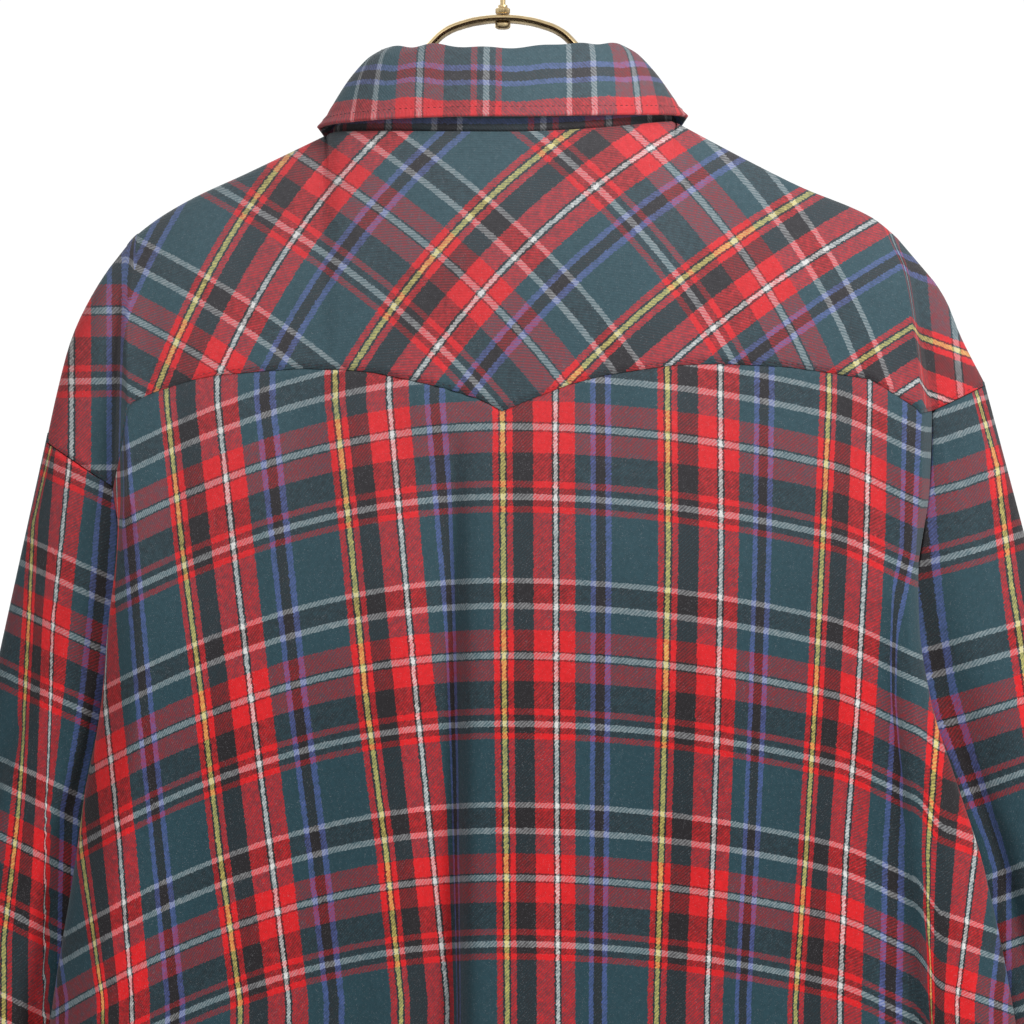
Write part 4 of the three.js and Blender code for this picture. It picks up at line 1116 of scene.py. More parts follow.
    def front_yoke(self, side: Side) -> np.ndarray:
        """Builds one pointed front yoke."""
        columns = self.main(side, Face.FRONT, PLACKET_HALF + 0.7) + self.wall(side) + self.cap(side)[:-1]
        t = np.linspace(0, 1, 36)
        grid, pattern = [], []
        turn = math.radians(45)
        for column in columns:
            top = BODY.column_top(Face.FRONT, column)
            end = math.sqrt(max(0.0, top - BODY.yoke_seam(Face.FRONT, column) - 0.05) / FALL)
            start = self.NECK_TRIM
            if column.zone is not Zone.MAIN or column.at >= NECK_HALF:
                grown = smooth(NECK_HALF - 2, 108, column.at) if column.zone is Zone.MAIN else 1.0
                start = min(FRONT_ROLL * float(grown), end) + 0.0125
            line = BODY.points(Face.FRONT, column, top - FALL * mix(start, end, t) ** 2)
            out, down = -line[:, 0] / View.PIXEL, (-143 - line[:, 2]) / View.PIXEL
            cosine, sine = math.cos(turn), side.sign * math.sin(turn)
            pattern.append(np.stack([(out * cosine + down * sine) / WARP_REPEAT,
                                     (down * cosine - out * sine) / WEFT_REPEAT], -1))
            grid.append(line)
        points = np.array(grid)
        points[..., 1] -= 0.45 * np.exp(-((1 - t) / 0.05) ** 2)
        points = self.puckers(points, np.exp(-((1 - t) / 0.08) ** 2), 0.2, 8.0)
        Cloth(f"yoke_{side.name}", f"front_yoke_{side.name}").build(
            points, np.array(pattern), self.flannel, (0, -1, 0))
        return points


def grid_normals(points: np.ndarray, toward: Sequence[float]) -> np.ndarray:
    """Unit normals of a grid of points, on the side that faces a direction at its middle."""
    normal = np.cross(np.gradient(points, axis=0), np.gradient(points, axis=1))
    normal /= np.maximum(1e-9, np.linalg.norm(normal, axis=-1, keepdims=True))
    middle = normal[points.shape[0] // 2, points.shape[1] // 2]
    return normal * (1 if np.dot(middle, toward) >= 0 else -1)


def inset_line(points: np.ndarray, normals: np.ndarray, distance: float) -> tuple[np.ndarray, np.ndarray]:
    """The line at a distance from the last row of a grid, on its surface.

    Args:
        points: The grid, columns by rows.
        normals: Its normals.
        distance: How far up from the last row, mm.

    Returns:
        Points and normals, one for each column.
    """
    line, facing = [], []
    for column, normal in zip(points, normals):
        back = column[::-1]
        along = np.concatenate([[0], np.cumsum(np.linalg.norm(np.diff(back, axis=0), axis=-1))])
        place = np.interp(distance, along, np.arange(len(along)))
        low = min(int(place), len(back) - 2)
        line.append(mix(back[low], back[low + 1], place - low))
        facing.append(normal[::-1][low])
    return np.array(line), np.array(facing)


class Stitching:
    """Rows of topstitching, gathered into one piece for each part of the shirt."""

    LENGTH, PITCH, HALF_WIDTH, HEIGHT = 2.3, 3.1, 0.26, 0.34

    def __init__(self, name: str, thread: bpy.types.Material) -> None:
        """Starts a piece of stitching."""
        self.name = name
        self.thread = thread
        self.corners: list[np.ndarray] = []
        self.faces: list[list[int]] = []

    def row(self, line: np.ndarray, normals: np.ndarray) -> None:
        """Sews along a line of points.

        Args:
            line: Points on the cloth, mm.
            normals: The cloth's normal at each.
        """
        along = np.concatenate([[0], np.cumsum(np.linalg.norm(np.diff(line, axis=0), axis=-1))])
        for start in np.arange(0.6, along[-1] - self.LENGTH, self.PITCH):
            shares = start + self.LENGTH * np.array([0, 0.3, 0.7, 1])
            spine = np.stack([np.interp(shares, along, line[:, k]) for k in range(3)], -1)
            up = np.array([np.interp(shares[1], along, normals[:, k]) for k in range(3)])
            up /= np.linalg.norm(up)
            side = np.cross(spine[-1] - spine[0], up)
            side /= max(1e-9, np.linalg.norm(side))
            base = sum(len(c) for c in self.corners)
            low, high = spine - 0.25 * up, spine + self.HEIGHT * up
            wide = self.HALF_WIDTH * side
            made = [low[0], low[3], low[1] + wide, low[2] + wide,
                    low[2] - wide, low[1] - wide, high[1], high[2]]
            self.corners.append(np.array(made))
            for face in ((0, 2, 6), (0, 6, 5), (2, 3, 7, 6), (5, 6, 7, 4), (3, 1, 7), (1, 4, 7),
                         (0, 5, 2), (2, 5, 4, 3), (3, 4, 1)):
                self.faces.append([base + k for k in face])

    def finish(self) -> bpy.types.Object:
        """Makes the piece."""
        mesh = bpy.data.meshes.new(self.name)
        mesh.from_pydata((np.concatenate(self.corners) * MM).tolist(), [], self.faces)
        mesh.materials.append(self.thread)
        piece = bpy.data.objects.new(self.name, mesh)
        bpy.context.collection.objects.link(piece)
        select_only(piece)
        bpy.ops.object.mode_set(mode="EDIT")
        bpy.ops.mesh.select_all(action="SELECT")
        bpy.ops.mesh.normals_make_consistent(inside=False)
        bpy.ops.object.mode_set(mode="OBJECT")
        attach(piece, "root")
        log.info("%s: %d stitches", self.name, len(self.corners))
        return piece


class SleeveLine(NamedTuple):
    """Where a line of the warp shows on a sleeve: its count and its x at five heights."""

    count: float
    x1: float
    x2: float
    x3: float
    x4: float
    x5: float


class SleeveCheck(NamedTuple):
    heights: tuple[float, ...]
    lines: tuple[SleeveLine, ...]
    weft_y: float
    slope: float


class SleeveCrease(NamedTuple):
    """A crease on a sleeve, in turns round it from the body's side, running down between two heights."""

    angle: float
    z: float
    angle_end: float
    z_end: float
    depth: float
    width: float


class Sleeve:
    """A sleeve and its cuff."""

    GROOVE_SHARES = (0.98, 0.8, 0.58, 0.34, 0.12)
    CAP_SHARES = (0.2, 0.45, 0.7, 0.88, 1)
    SPLIT = 0.42
    COLUMNS, ROWS = 104, 176
    CHECKS = {
        "left": SleeveCheck((441, 560, 690, 800, 930),
                            (SleeveLine(0, 47, 38, 30, 20, 4), SleeveLine(53.5, 95, 75, 52, 47, 46),
                             SleeveLine(78, 116, 98, 72, 51, 49), SleeveLine(130, 160, 140, 118, 96, 90)),
                            615.7, 0.47),
        "right": SleeveCheck((401, 475, 584, 676, 863),
                             (SleeveLine(-112.5, 832, 852, 880, 898, 960),
                              SleeveLine(-60, 884, 905, 933, 952, 1008),
                              SleeveLine(0, 941, 962.5, 991, 1010.5, 1062)), 471, -0.36),
    }
    CREASES = {
        "left": (SleeveCrease(0.31, -330, 0.29, -520, 2.0, 0.03),
                 SleeveCrease(0.42, -420, 0.36, -700, 3.0, 0.04),
                 SleeveCrease(0.12, -560, 0.16, -760, 3.0, 0.035),
                 SleeveCrease(0.62, -480, 0.66, -720, 4.0, 0.05),
                 SleeveCrease(0.83, -430, 0.80, -700, 4.0, 0.05)),
        "right": (SleeveCrease(0.22, -330, 0.25, -520, 2.2, 0.03),
                  SleeveCrease(0.38, -430, 0.34, -640, 2.6, 0.04),
                  SleeveCrease(0.10, -540, 0.15, -770, 3.2, 0.035),
                  SleeveCrease(0.66, -460, 0.62, -700, 4.0, 0.05),
                  SleeveCrease(0.86, -440, 0.84, -680, 4.2, 0.05)),
    }

    def __init__(self, side: Side, flannel: bpy.types.Material, thread: bpy.types.Material) -> None:
        """Keeps the side and the finishes."""
        self.side = side
        self.flannel = flannel
        self.thread = thread

    def arm_ring(self) -> np.ndarray:
        """The sleeve's first ring, which follows the arm seam."""
        side = self.side
        inner, inner_z, outer, _ = side.arm
        end = Column(side, Zone.WALL, 1.0)

        def groove(face: Face, share: float) -> np.ndarray:
            """A point of the groove below the visible seam."""
            return BODY.points(face, end, np.array([mix(inner_z, UNDERARM, share)]))[0]

        def on_seam(face: Face, share: float) -> np.ndarray:
            """A point of the visible seam."""
            x = mix(inner, outer - 1, share)
            return BODY.points(face, Column(side, Zone.CAP, x), np.array([side.arm_line(x)]))[0]

        halves = [[groove(face, s) for s in self.GROOVE_SHARES] + [groove(face, 0)]
                  + [on_seam(face, s) for s in self.CAP_SHARES] for face in (Face.BACK, Face.FRONT)]
        last = Column(side, Zone.CAP, outer - 1)
        top = BODY.points(Face.BACK, last, np.array([BODY.column_top(Face.BACK, last)]))[0]
        ring = np.array([groove(Face.BACK, 1)] + halves[0] + [top] + halves[1][::-1])
        for k in range(len(ring)):
            below = min(k, len(ring) - k)
            inward = -0.9 if k < len(ring) / 2 else 0.9
            if below < 3:
                ring[k] += (side.sign * 2, inward if below else 0, -0.6)
            elif below <= len(self.GROOVE_SHARES):
                ring[k] += (side.sign * 0.5, inward, -0.4)
            else:
                ring[k] += (side.sign * 0.5, 0, -0.3)
        return ring

    def section(self, angle: np.ndarray, z: float) -> np.ndarray:
        """One ring of the free sleeve."""
        side = self.side
        value = {name: float(side.sleeve_curve(name)(z)) for name in ("x", "y", "half_width", "half_depth")}
        turn = 2 * math.pi * angle
        fade = smooth(-795, -740, z)
        shrink = fade * 7 * np.exp(-((angle - 0.2) / 0.028) ** 2)
        for crease in self.CREASES[side.name]:
            share = (crease.z - z) / (crease.z - crease.z_end)
            grown = smooth(-0.1, 0.3, share) * (1 - smooth(0.7, 1.15, share))
            middle = mix(crease.angle, crease.angle_end, share)
            shrink = shrink + crease.depth * grown * np.exp(-((angle - middle) / crease.width) ** 2)
        gathers = (1 - smooth(-793, -755, z)) * 0.9 * np.sin(turn * 17 + 1.2 * np.sin(turn * 3))
        shrink = shrink + gathers
        return np.stack([side.sign * (value["x"] - (value["half_width"] - shrink) * np.cos(turn)),
                         value["y"] + (value["half_depth"] - shrink) * np.sin(turn),
                         np.full(np.shape(angle), z)], -1)

    def build(self) -> np.ndarray:
        """Builds the sleeve."""
        side = self.side
        ring = self.arm_ring()
        length = np.concatenate([[0], np.cumsum(np.linalg.norm(np.diff(ring, axis=0), axis=-1))])
        whole = length[-1] + np.linalg.norm(ring[0] - ring[-1])
        half = length[len(ring) // 2]
        angles = np.where(length <= half, 0.5 * length / half, 0.5 + 0.5 * (length - half) / (whole - half))
        fine = np.linspace(0, 1, self.COLUMNS, endpoint=False)
        known = np.concatenate([angles[-2:] - 1, angles, angles[:2] + 1])
        spots = np.concatenate([ring[-2:], ring, ring[:2]])
        start = np.stack([Monotone(known, spots[:, k])(fine) for k in range(3)], -1)
        first, last = side.sleeve[0].z, side.sleeve[-1].z
        rows = []
        for t in np.linspace(0, 1, self.ROWS):
            if t <= self.SPLIT:
                share = t / self.SPLIT
                line = mix(start, self.section(fine, first), share)
                z = mix(-360, first, share)
                line = line + self.dents(fine, z, line) * math.sin(math.pi * share)
            else:
                line = self.section(fine, mix(first, last, (t - self.SPLIT) / (1 - self.SPLIT)))
            rows.append(line)
        points = np.array(rows).transpose(1, 0, 2)
        Cloth(f"sleeve_{side.name}_cloth", f"sleeve_{side.name}", wrap=True).build(
            points, self.pattern(points, fine), self.flannel, (side.sign, 0, 0.2))
        return points

    def dents(self, angle: np.ndarray, z: float, line: np.ndarray) -> np.ndarray:
        """How the upper sleeve's creases move its points."""
        side = self.side
        turn = 2 * math.pi * angle
        sink = np.zeros(len(angle))
        for crease in self.CREASES[side.name]:
            share = (crease.z - z) / (crease.z - crease.z_end)
            grown = smooth(-0.1, 0.3, share) * (1 - smooth(0.7, 1.15, share))
            middle = mix(crease.angle, crease.angle_end, share)
            sink += crease.depth * grown * np.exp(-((angle - middle) / crease.width) ** 2)
        return np.stack([side.sign * sink * np.cos(turn), -sink * np.sin(turn), np.zeros(len(angle))], -1)

    def pattern(self, points: np.ndarray, angle: np.ndarray) -> np.ndarray:
        """Repeats of the check, with the warp along the sleeve."""
        check = self.CHECKS[self.side.name]
        closed = np.concatenate([points, points[:1]])
        along = arcs(closed)
        px, py = View.pixel(closed)
        seen = (angle > 0.02) & (angle < 0.48)
        out = np.empty(closed.shape[:2] + (2,))
        counts = np.array([line.count for line in check.lines])
        for j in range(closed.shape[1]):
            height = py[:, j].mean()
            lines_x = np.array([np.interp(height, check.heights, line[1:]) for line in check.lines])
            xs, lengths = px[:-1][seen, j], along[:-1][seen, j]
            order = np.argsort(xs)
            ends = np.interp(lines_x[[0, -1]], xs[order], lengths[order])
            way = -self.side.sign
            first = counts[0] + way * (along[:, j] - ends[0]) / View.PIXEL
            last = counts[-1] + way * (along[:, j] - ends[1]) / View.PIXEL
            inside = np.interp(px[:, j], lines_x, counts)
            before = way * (along[:, j] - ends[0]) <= 0
            after = way * (along[:, j] - ends[1]) >= 0
            count = np.where(before, first, np.where(after, last, inside))
            yellow = lines_x[list(counts).index(0)]
            out[:, j, 0] = count / WARP_REPEAT
            out[:, j, 1] = (py[:, j] - check.weft_y - check.slope * (px[:, j] - yellow)) / WEFT_REPEAT
        return out

    def cuff(self) -> None:
        """Builds the cuff, which laps over its own start, and sews it."""
        side = self.side
        start, lap, half_width, half_depth = 0.62, 0.07, 47, 29
        s, t = np.meshgrid(np.linspace(0, 1, 132), np.linspace(0, 1, 26), indexing="ij")
        turn = 2 * math.pi * (start + s * (1 + lap))
        x = side.sign * (mix(side.sleeve[-1].x, side.cuff_x, t) - half_width * np.cos(turn))
        z = side.sleeve[-1].z - GAP - t * CUFF_HEIGHT
        points = np.stack([x, -38 + half_depth * np.sin(turn), z], -1)
        out = np.stack([-side.sign * np.cos(turn) / half_width, np.sin(turn) / half_depth, 0 * turn], -1)
        out /= np.linalg.norm(out, axis=-1, keepdims=True)
        over = 1 - lap / (1 + lap) - 0.01
        lift = LAP * smooth(over - 0.04, over, s)
        edges = np.exp(-(t / 0.045) ** 2) + np.exp(-((1 - t) / 0.045) ** 2)
        lift += 0.5 * edges * (1 - 0.5 * smooth(0.9, 1, s))
        lift += 0.3 * np.sin(s * 61 + 1.1 * np.sin(s * 23)) * np.exp(-((t - 0.5) / 0.3) ** 2)
        points += lift[..., None] * out
        along = arcs(points)
        pattern = np.stack([(t * CUFF_HEIGHT / View.PIXEL + 24) / WARP_REPEAT,
                            along / View.PIXEL / WEFT_REPEAT + 0.1], -1)
        Cloth(f"cuff_{side.name}_cloth", f"cuff_{side.name}").build(
            points, pattern, self.flannel, tuple(out[66, 13]))
        sewn = Stitching(f"cuff_{side.name}_stitching", self.thread)
        for grid, facing in ((points, out), (points[:, ::-1], out[:, ::-1])):
            sewn.row(*inset_line(grid, facing, 5.0))
        swapped, normals = points[::-1].transpose(1, 0, 2)[:, ::-1], out[::-1].transpose(1, 0, 2)[:, ::-1]
        sewn.row(*inset_line(swapped[2:-2], normals[2:-2], 4.0))
        sewn.finish()


class CollarRing(NamedTuple):
    """One ring of the collar round the neck: its half width, its depths and its heights."""

    half: float
    back: float
    front: float
    back_z: float
    left_z: float
    right_z: float
    front_z: float
    reach: float
    point: float
    fall: float


class Collar:
    """The collar: a stand that fastens in front and a leaf that turns down over it."""

    STAND = (
        CollarRing(92, 45, 50, -144.5, -141, -135, -204.2, 188, 0, 1.5),
        CollarRing(80, 41, 47.5, -129.5, -125.5, -120, -190.5, 188, 0, 1.5),
        CollarRing(67.5, 37, 44.5, -114.2, -110.2, -105.4, -177.4, 188, 0, 1.5),
    )
    LEAF = (
        CollarRing(67, 36.8, 44.2, -113.3, -109, -104.2, -176.3, 174, 0, 1.5),
        CollarRing(63.4, 36.6, 43.6, -104.6, -101, -98, -171, 174, 0, 1.5),
        CollarRing(63.6, 39.4, 46, -100.4, -96.8, -94.6, -167.6, 174, 0, 1.5),
        CollarRing(71, 43.6, 50.4, -103.6, -101, -98.6, -170.4, 172, 0, 1.5),
        CollarRing(82, 47, 55, -116, -113, -110, -185, 166, 3, 1.7),
        CollarRing(91, 49.5, 60, -128.5, -127, -122.5, -203, 159, 9, 2),
        CollarRing(98.5, 51.5, 65, -138, -138.6, -132.8, -219, 151, 18, 2.2),
    )

    def __init__(self, flannel: bpy.types.Material, thread: bpy.types.Material) -> None:
        """Keeps the finishes."""
        self.flannel = flannel
        self.thread = thread

    @staticmethod
    def surface(rings: Sequence[CollarRing], share: np.ndarray, t: np.ndarray) -> np.ndarray:
        """Points of a collar piece.

        Args:
            rings: Its rings, from the first edge to the last.
            share: Places round the neck, 0 to 1, from the wearer's right to the left.
            t: Places across the piece, 0 to 1.

        Returns:
            Points, one for each share and t.
        """
        made = []
        for ring in rings:
            degrees = ring.reach * (2 * share - 1)
            angle = np.radians(degrees)
            out = np.cos(angle)
            side_z = mix(ring.right_z, ring.left_z, smooth(-0.12, 0.12, 2 * share - 1))
            corner = ring.point * smooth(0.78, 1, np.abs(2 * share - 1))
            z = np.where(out > 0, mix(ring.back_z, side_z, 1 - out * out),
                         mix(side_z, ring.front_z, np.abs(out) ** ring.fall))
            made.append(np.stack([ring.half * np.sin(angle), np.where(out > 0, ring.back, ring.front) * out,
                                  z - corner], -1))
        stack = np.array(made)
        places = np.arange(len(rings), dtype=float)
        at = np.clip(t, 0, 1) * (len(rings) - 1)
        flat = stack.reshape(len(rings), -1)
        curves = [Monotone(places, flat[:, k])(at) for k in range(flat.shape[1])]
        return np.array(curves).T.reshape(len(t), len(share), 3).transpose(1, 0, 2)

    def stand(self) -> np.ndarray:
        """Builds the stand."""
        s, t = np.linspace(0, 1, 150), np.linspace(0, 1, 16)
        points = self.surface(self.STAND, s, t)
        normals = grid_normals(points, (0, 1, 0.3))
        points = points + (LAP * smooth(0.915, 0.955, s))[:, None, None] * normals
        points[:, 0] -= 2.3 * normals[:, 0] + np.array([0, 0, 1.6])
        along = arcs(points)
        along -= along[len(s) // 2]
        _, py = View.pixel(points[len(s) // 2])
        warp = np.broadcast_to((92 + (py - 122)) / WARP_REPEAT, along.shape)
        pattern = np.stack([warp, (113.5 + along / View.PIXEL) / WEFT_REPEAT], -1)
        Cloth("stand_cloth", "collar_stand").build(points, pattern, self.flannel, (0, 1, 0.3))
        return points

    def leaf(self) -> np.ndarray:
        """Builds the leaf with its topstitching."""
        s, t = np.linspace(0, 1, 190), np.linspace(0, 1, 64)
        points = self.surface(self.LEAF, s, t)
        wave = 0.8 * np.sin(s * 47 + 1.5 * np.sin(s * 19)) + 0.5 * np.sin(s * 83 + 2)
        wave *= 1 - 0.8 * smooth(0.1, 0.2, np.abs(s - 0.5))
        points[..., 2] += wave[:, None] * np.exp(-((t - 0.33) / 0.22) ** 2)
        normals = grid_normals(points, (0, 0.3, 1))
        roll = 0.7 * np.exp(-((1 - t) / 0.03) ** 2) * (0.75 + 0.25 * np.sin(s * 90))[:, None]
        seam = -0.35 * np.exp(-((1 - t - 0.1) / 0.022) ** 2)
        points = points + (roll + seam)[..., None] * normals
        along = arcs(points)
        along -= along[len(s) // 2]
        fold_row = int(0.26 * len(t))
        drop = points[:, [fold_row], 2] - points[..., 2]
        pattern = np.stack([np.maximum(59, 127 - drop / View.PIXEL) / WARP_REPEAT,
                            (82.5 - along / View.PIXEL) / WEFT_REPEAT], -1)
        Cloth("leaf_cloth", "collar_leaf").build(points, pattern, self.flannel, (0, 0.3, 1))
        sewn = Stitching("collar_stitching", self.thread)
        facing = grid_normals(points, (0, 0.3, 1))
        sewn.row(*inset_line(points[3:-3], facing[3:-3], 5.0))
        for turn in (1, -1):
            outer = points[::turn, 26:].transpose(1, 0, 2)
            sewn.row(*inset_line(outer[:-4], facing[::turn, 26:].transpose(1, 0, 2)[:-4], 5.0))
        sewn.finish()
        return points


class Snap:
    """A pearl snap in a metal rim."""

    RADIUS, RIM = 4.5, 0.75

    def __init__(self, pearl: bpy.types.Material, metal: bpy.types.Material) -> None:
        """Models one snap, lying on its back at the origin, to be copied."""
        bpy.ops.object.select_all(action="DESELECT")
        bpy.ops.mesh.primitive_uv_sphere_add(segments=32, ring_count=18, radius=self.RADIUS * MM)
        dome = bpy.context.object
        bpy.ops.object.mode_set(mode="EDIT")
        bpy.ops.mesh.select_all(action="SELECT")
        bpy.ops.transform.resize(value=(1, 1, 0.42))
        bpy.ops.mesh.bisect(plane_co=(0, 0, 0), plane_no=(0, 0, 1), clear_inner=True, use_fill=True)
        bpy.ops.mesh.select_all(action="SELECT")
        bpy.ops.transform.translate(value=(0, 0, 1.0 * MM))
        bpy.ops.object.mode_set(mode="OBJECT")
        dome.data.materials.append(pearl)
        bpy.ops.object.select_all(action="DESELECT")
        bpy.ops.mesh.primitive_torus_add(major_segments=36, minor_segments=10,
                                         major_radius=(self.RADIUS + 0.05) * MM, minor_radius=self.RIM * MM)
        rim = bpy.context.object
        bpy.ops.object.mode_set(mode="EDIT")
        bpy.ops.mesh.select_all(action="SELECT")
        bpy.ops.transform.translate(value=(0, 0, 0.85 * MM))
        bpy.ops.object.mode_set(mode="OBJECT")
        rim.data.materials.append(metal)
        bpy.ops.object.select_all(action="DESELECT")
        bpy.ops.mesh.primitive_cylinder_add(vertices=32, radius=4.2 * MM, depth=0.9 * MM,
                                            location=(0, 0, 0.45 * MM))
        plate = bpy.context.object
        bpy.ops.object.transform_apply(location=True)
        bpy.ops.object.mode_set(mode="EDIT")
        bpy.ops.mesh.select_all(action="SELECT")
        bpy.ops.mesh.bevel(offset=0.2 * MM, segments=2)
        bpy.ops.object.mode_set(mode="OBJECT")
        plate.data.materials.append(metal)
        for part in (dome, rim, plate):
            part.select_set(True)
        bpy.context.view_layer.objects.active = dome
        bpy.ops.object.join()
        for face in dome.data.polygons:
            face.use_smooth = True
        self.pattern = dome

    def place(self, node: str, base: np.ndarray, normal: np.ndarray) -> None:
        """Puts one snap in a node's place.

        Args:
            node: The solid that it stands for.
            base: The middle of its back, mm.
            normal: The way that it faces.
        """
        mesh = self.pattern.data.copy()
        turn = Vector((0, 0, 1)).rotation_difference(Vector(normal)).to_matrix().to_4x4()
        mesh.transform(Matrix.Translation(Vector(base) * MM) @ turn)
        piece = bpy.data.objects.new(f"{node}_pearl", mesh)
        bpy.context.collection.objects.link(piece)
        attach(piece, "root")
        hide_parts(node)
        log.info("%s", piece.name)

    def place_on_node(self, node: str, normal: Sequence[float]) -> None:
        """Puts one snap where its solid is, facing along a direction."""
        low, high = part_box(node)
        middle = (np.array(low) + np.array(high)) / 2 / MM
        facing = np.array(normal, float) / np.linalg.norm(normal)
        self.place(node, middle - 1.45 * facing, facing)

    def clear(self) -> None:
        """Removes the pattern that the snaps were copied from."""
        bpy.data.objects.remove(self.pattern)


class Hanger:
    """The hanger: a hook with its nut, an arch with two arms, and a rivet end below the arch."""

    ARM_TIP, BAR_DROP, HALF_HEIGHT, HALF_DEPTH = 186, WALL + 2.4, 2.3, 6.0
    NECK_RISE = ((82, -144.2), (68, -127.5), (53, -112), (43.5, -101), (37.5, -93.5), (31, -87.6),
                 (20.5, -83.2), (10, -81))
    HOOK_RADIUS, WIRE = 18.0, 1.45
    NUT_TOP, NUT_BOTTOM, NUT_RADIUS = -73.2, -77.8, 3.9

    def __init__(self, brass: bpy.types.Material) -> None:
        """Keeps the finish."""
        self.brass = brass

    def rod(self, name: str, node: str, path: np.ndarray, radius: float, stretch: float,
            rounds: int) -> None:
        """Bends a rod along a path in the plane of the hanger.

        Args:
            name: The piece's name.
            node: The solid that it stands for.
            path: Points of the middle line, x and z, mm.
            radius: Half its height, mm.
            stretch: How much deeper it is along y.
            rounds: Points round the section, a quarter of them.
        """
        curve = bpy.data.curves.new(name, "CURVE")
        curve.dimensions = "3D"
        curve.bevel_depth = radius * MM
        curve.bevel_resolution = rounds
        curve.use_fill_caps = True
        curve.resolution_u = 6
        spline = curve.splines.new("BEZIER")
        spline.bezier_points.add(len(path) - 1)
        for point, (x, z) in zip(spline.bezier_points, path):
            point.co = (x * MM, 0, z * MM)
            point.handle_left_type = point.handle_right_type = "AUTO"
        piece = bpy.data.objects.new(name, curve)
        bpy.context.collection.objects.link(piece)
        select_only(piece)
        bpy.ops.object.convert(target="MESH")
        piece = bpy.context.object
        bpy.ops.object.mode_set(mode="EDIT")
        bpy.ops.mesh.select_all(action="SELECT")
        bpy.ops.transform.resize(value=(1, stretch, 1), center_override=(0, 0, 0))
        bpy.ops.mesh.remove_doubles(threshold=0.00002)
        bpy.ops.mesh.normals_make_consistent(inside=False)
        bpy.ops.object.mode_set(mode="OBJECT")
        bpy.ops.object.shade_smooth_by_angle(angle=math.radians(50))
        self.dress(piece, node)

    def dress(self, piece: bpy.types.Object, node: str) -> None:
        """Finishes a piece in brass in the place of its solid."""
        piece.data.materials.clear()
        piece.data.materials.append(self.brass)
        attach(piece, "root")
        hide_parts(node)
        log.info("%s: %d faces", piece.name, len(piece.data.polygons))

    def arch(self) -> None:
        """Builds the arch and its arms."""
        half = {}
        for side in SIDES:
            arm = [(side.sign * x, float(side.ridge_z(x)) - self.BAR_DROP - self.HALF_HEIGHT)
                   for x in (self.ARM_TIP, 160, 130, 106, 93)]
            half[side.name] = arm + [(side.sign * x, z) for x, z in self.NECK_RISE]
        path = np.array(half["left"] + [(0, -80.4)] + half["right"][::-1])
        self.rod("hanger_arch", "hanger_bar", path, self.HALF_HEIGHT, self.HALF_DEPTH / self.HALF_HEIGHT, 6)

    def hook(self) -> None:
        """Builds the hook."""
        around = self.HOOK_RADIUS + self.WIRE
        path = [(0, self.NUT_TOP + GAP), (0, -60), (1.5, -48), (7, -38.5)]
        for turn in np.linspace(-0.9, math.pi + 0.35, 15):
            path.append((around * math.cos(turn), around * math.sin(turn) - self.HOOK_RADIUS))
        self.rod("hanger_hook_wire", "hanger_hook", np.array(path), self.WIRE, 1.0, 5)

    def turned(self, name: str, node: str, profile: Sequence[tuple[float, float]], ridges: int) -> None:
        """Turns a part round the upright axis, with ridges on its widest stretch.

        Args:
            name: The piece's name.
            node: The solid that it stands for.
            profile: Radius and height of each step, mm.
            ridges: How many ridges, or 0.
        """
        sides = 2 * ridges if ridges else 36
        bpy.ops.object.select_all(action="DESELECT")
        bpy.ops.mesh.primitive_circle_add(vertices=sides, radius=profile[0][0] * MM, fill_type="NGON",
                                          location=(0, 0, profile[0][1] * MM))
        piece = bpy.context.object
        piece.name = name
        bpy.ops.object.transform_apply(location=True)
        bpy.ops.object.mode_set(mode="EDIT")
        bpy.ops.mesh.select_all(action="SELECT")
        for (radius, z), (after, z_after) in zip(profile, profile[1:]):
            bpy.ops.mesh.extrude_region_move(TRANSFORM_OT_translate={"value": (0, 0, (z_after - z) * MM)})
            scale = after / radius
            bpy.ops.transform.resize(value=(scale, scale, 1), center_override=(0, 0, z_after * MM))
        bpy.ops.mesh.select_all(action="SELECT")
        bpy.ops.mesh.normals_make_consistent(inside=False)
        bpy.ops.object.mode_set(mode="OBJECT")
        if ridges:
            widest = max(radius for radius, _ in profile)
            for vertex in piece.data.vertices:
                reach = math.hypot(vertex.co.x, vertex.co.y) / MM
                turn = math.atan2(vertex.co.y, vertex.co.x) * ridges / math.pi
                if reach > widest - 0.2 and round(turn) % 2:
                    vertex.co.x *= 0.93
                    vertex.co.y *= 0.93
        select_only(piece)
        bpy.ops.object.shade_smooth_by_angle(angle=math.radians(28))
        self.dress(piece, node)

    def fittings(self) -> None:
        """Builds the nut above the arch and the rivet end below it."""
        low, high = self.NUT_BOTTOM, self.NUT_TOP
        self.turned("hanger_ridged_nut", "hanger_nut",
                    ((3.3, low), (3.7, low + 0.35), (self.NUT_RADIUS, low + 0.7), (self.NUT_RADIUS, -75.2),
                     (3.6, -74.9), (3.0, -74.5), (2.6, -74.2), (2.5, high)), 20)
        self.turned("hanger_rivet_end", "hanger_rivet",
                    ((2.4, -85.9), (3.3, -85.6), (4.0, -84.9), (4.2, -84.2), (4.2, -83.1)), 0)


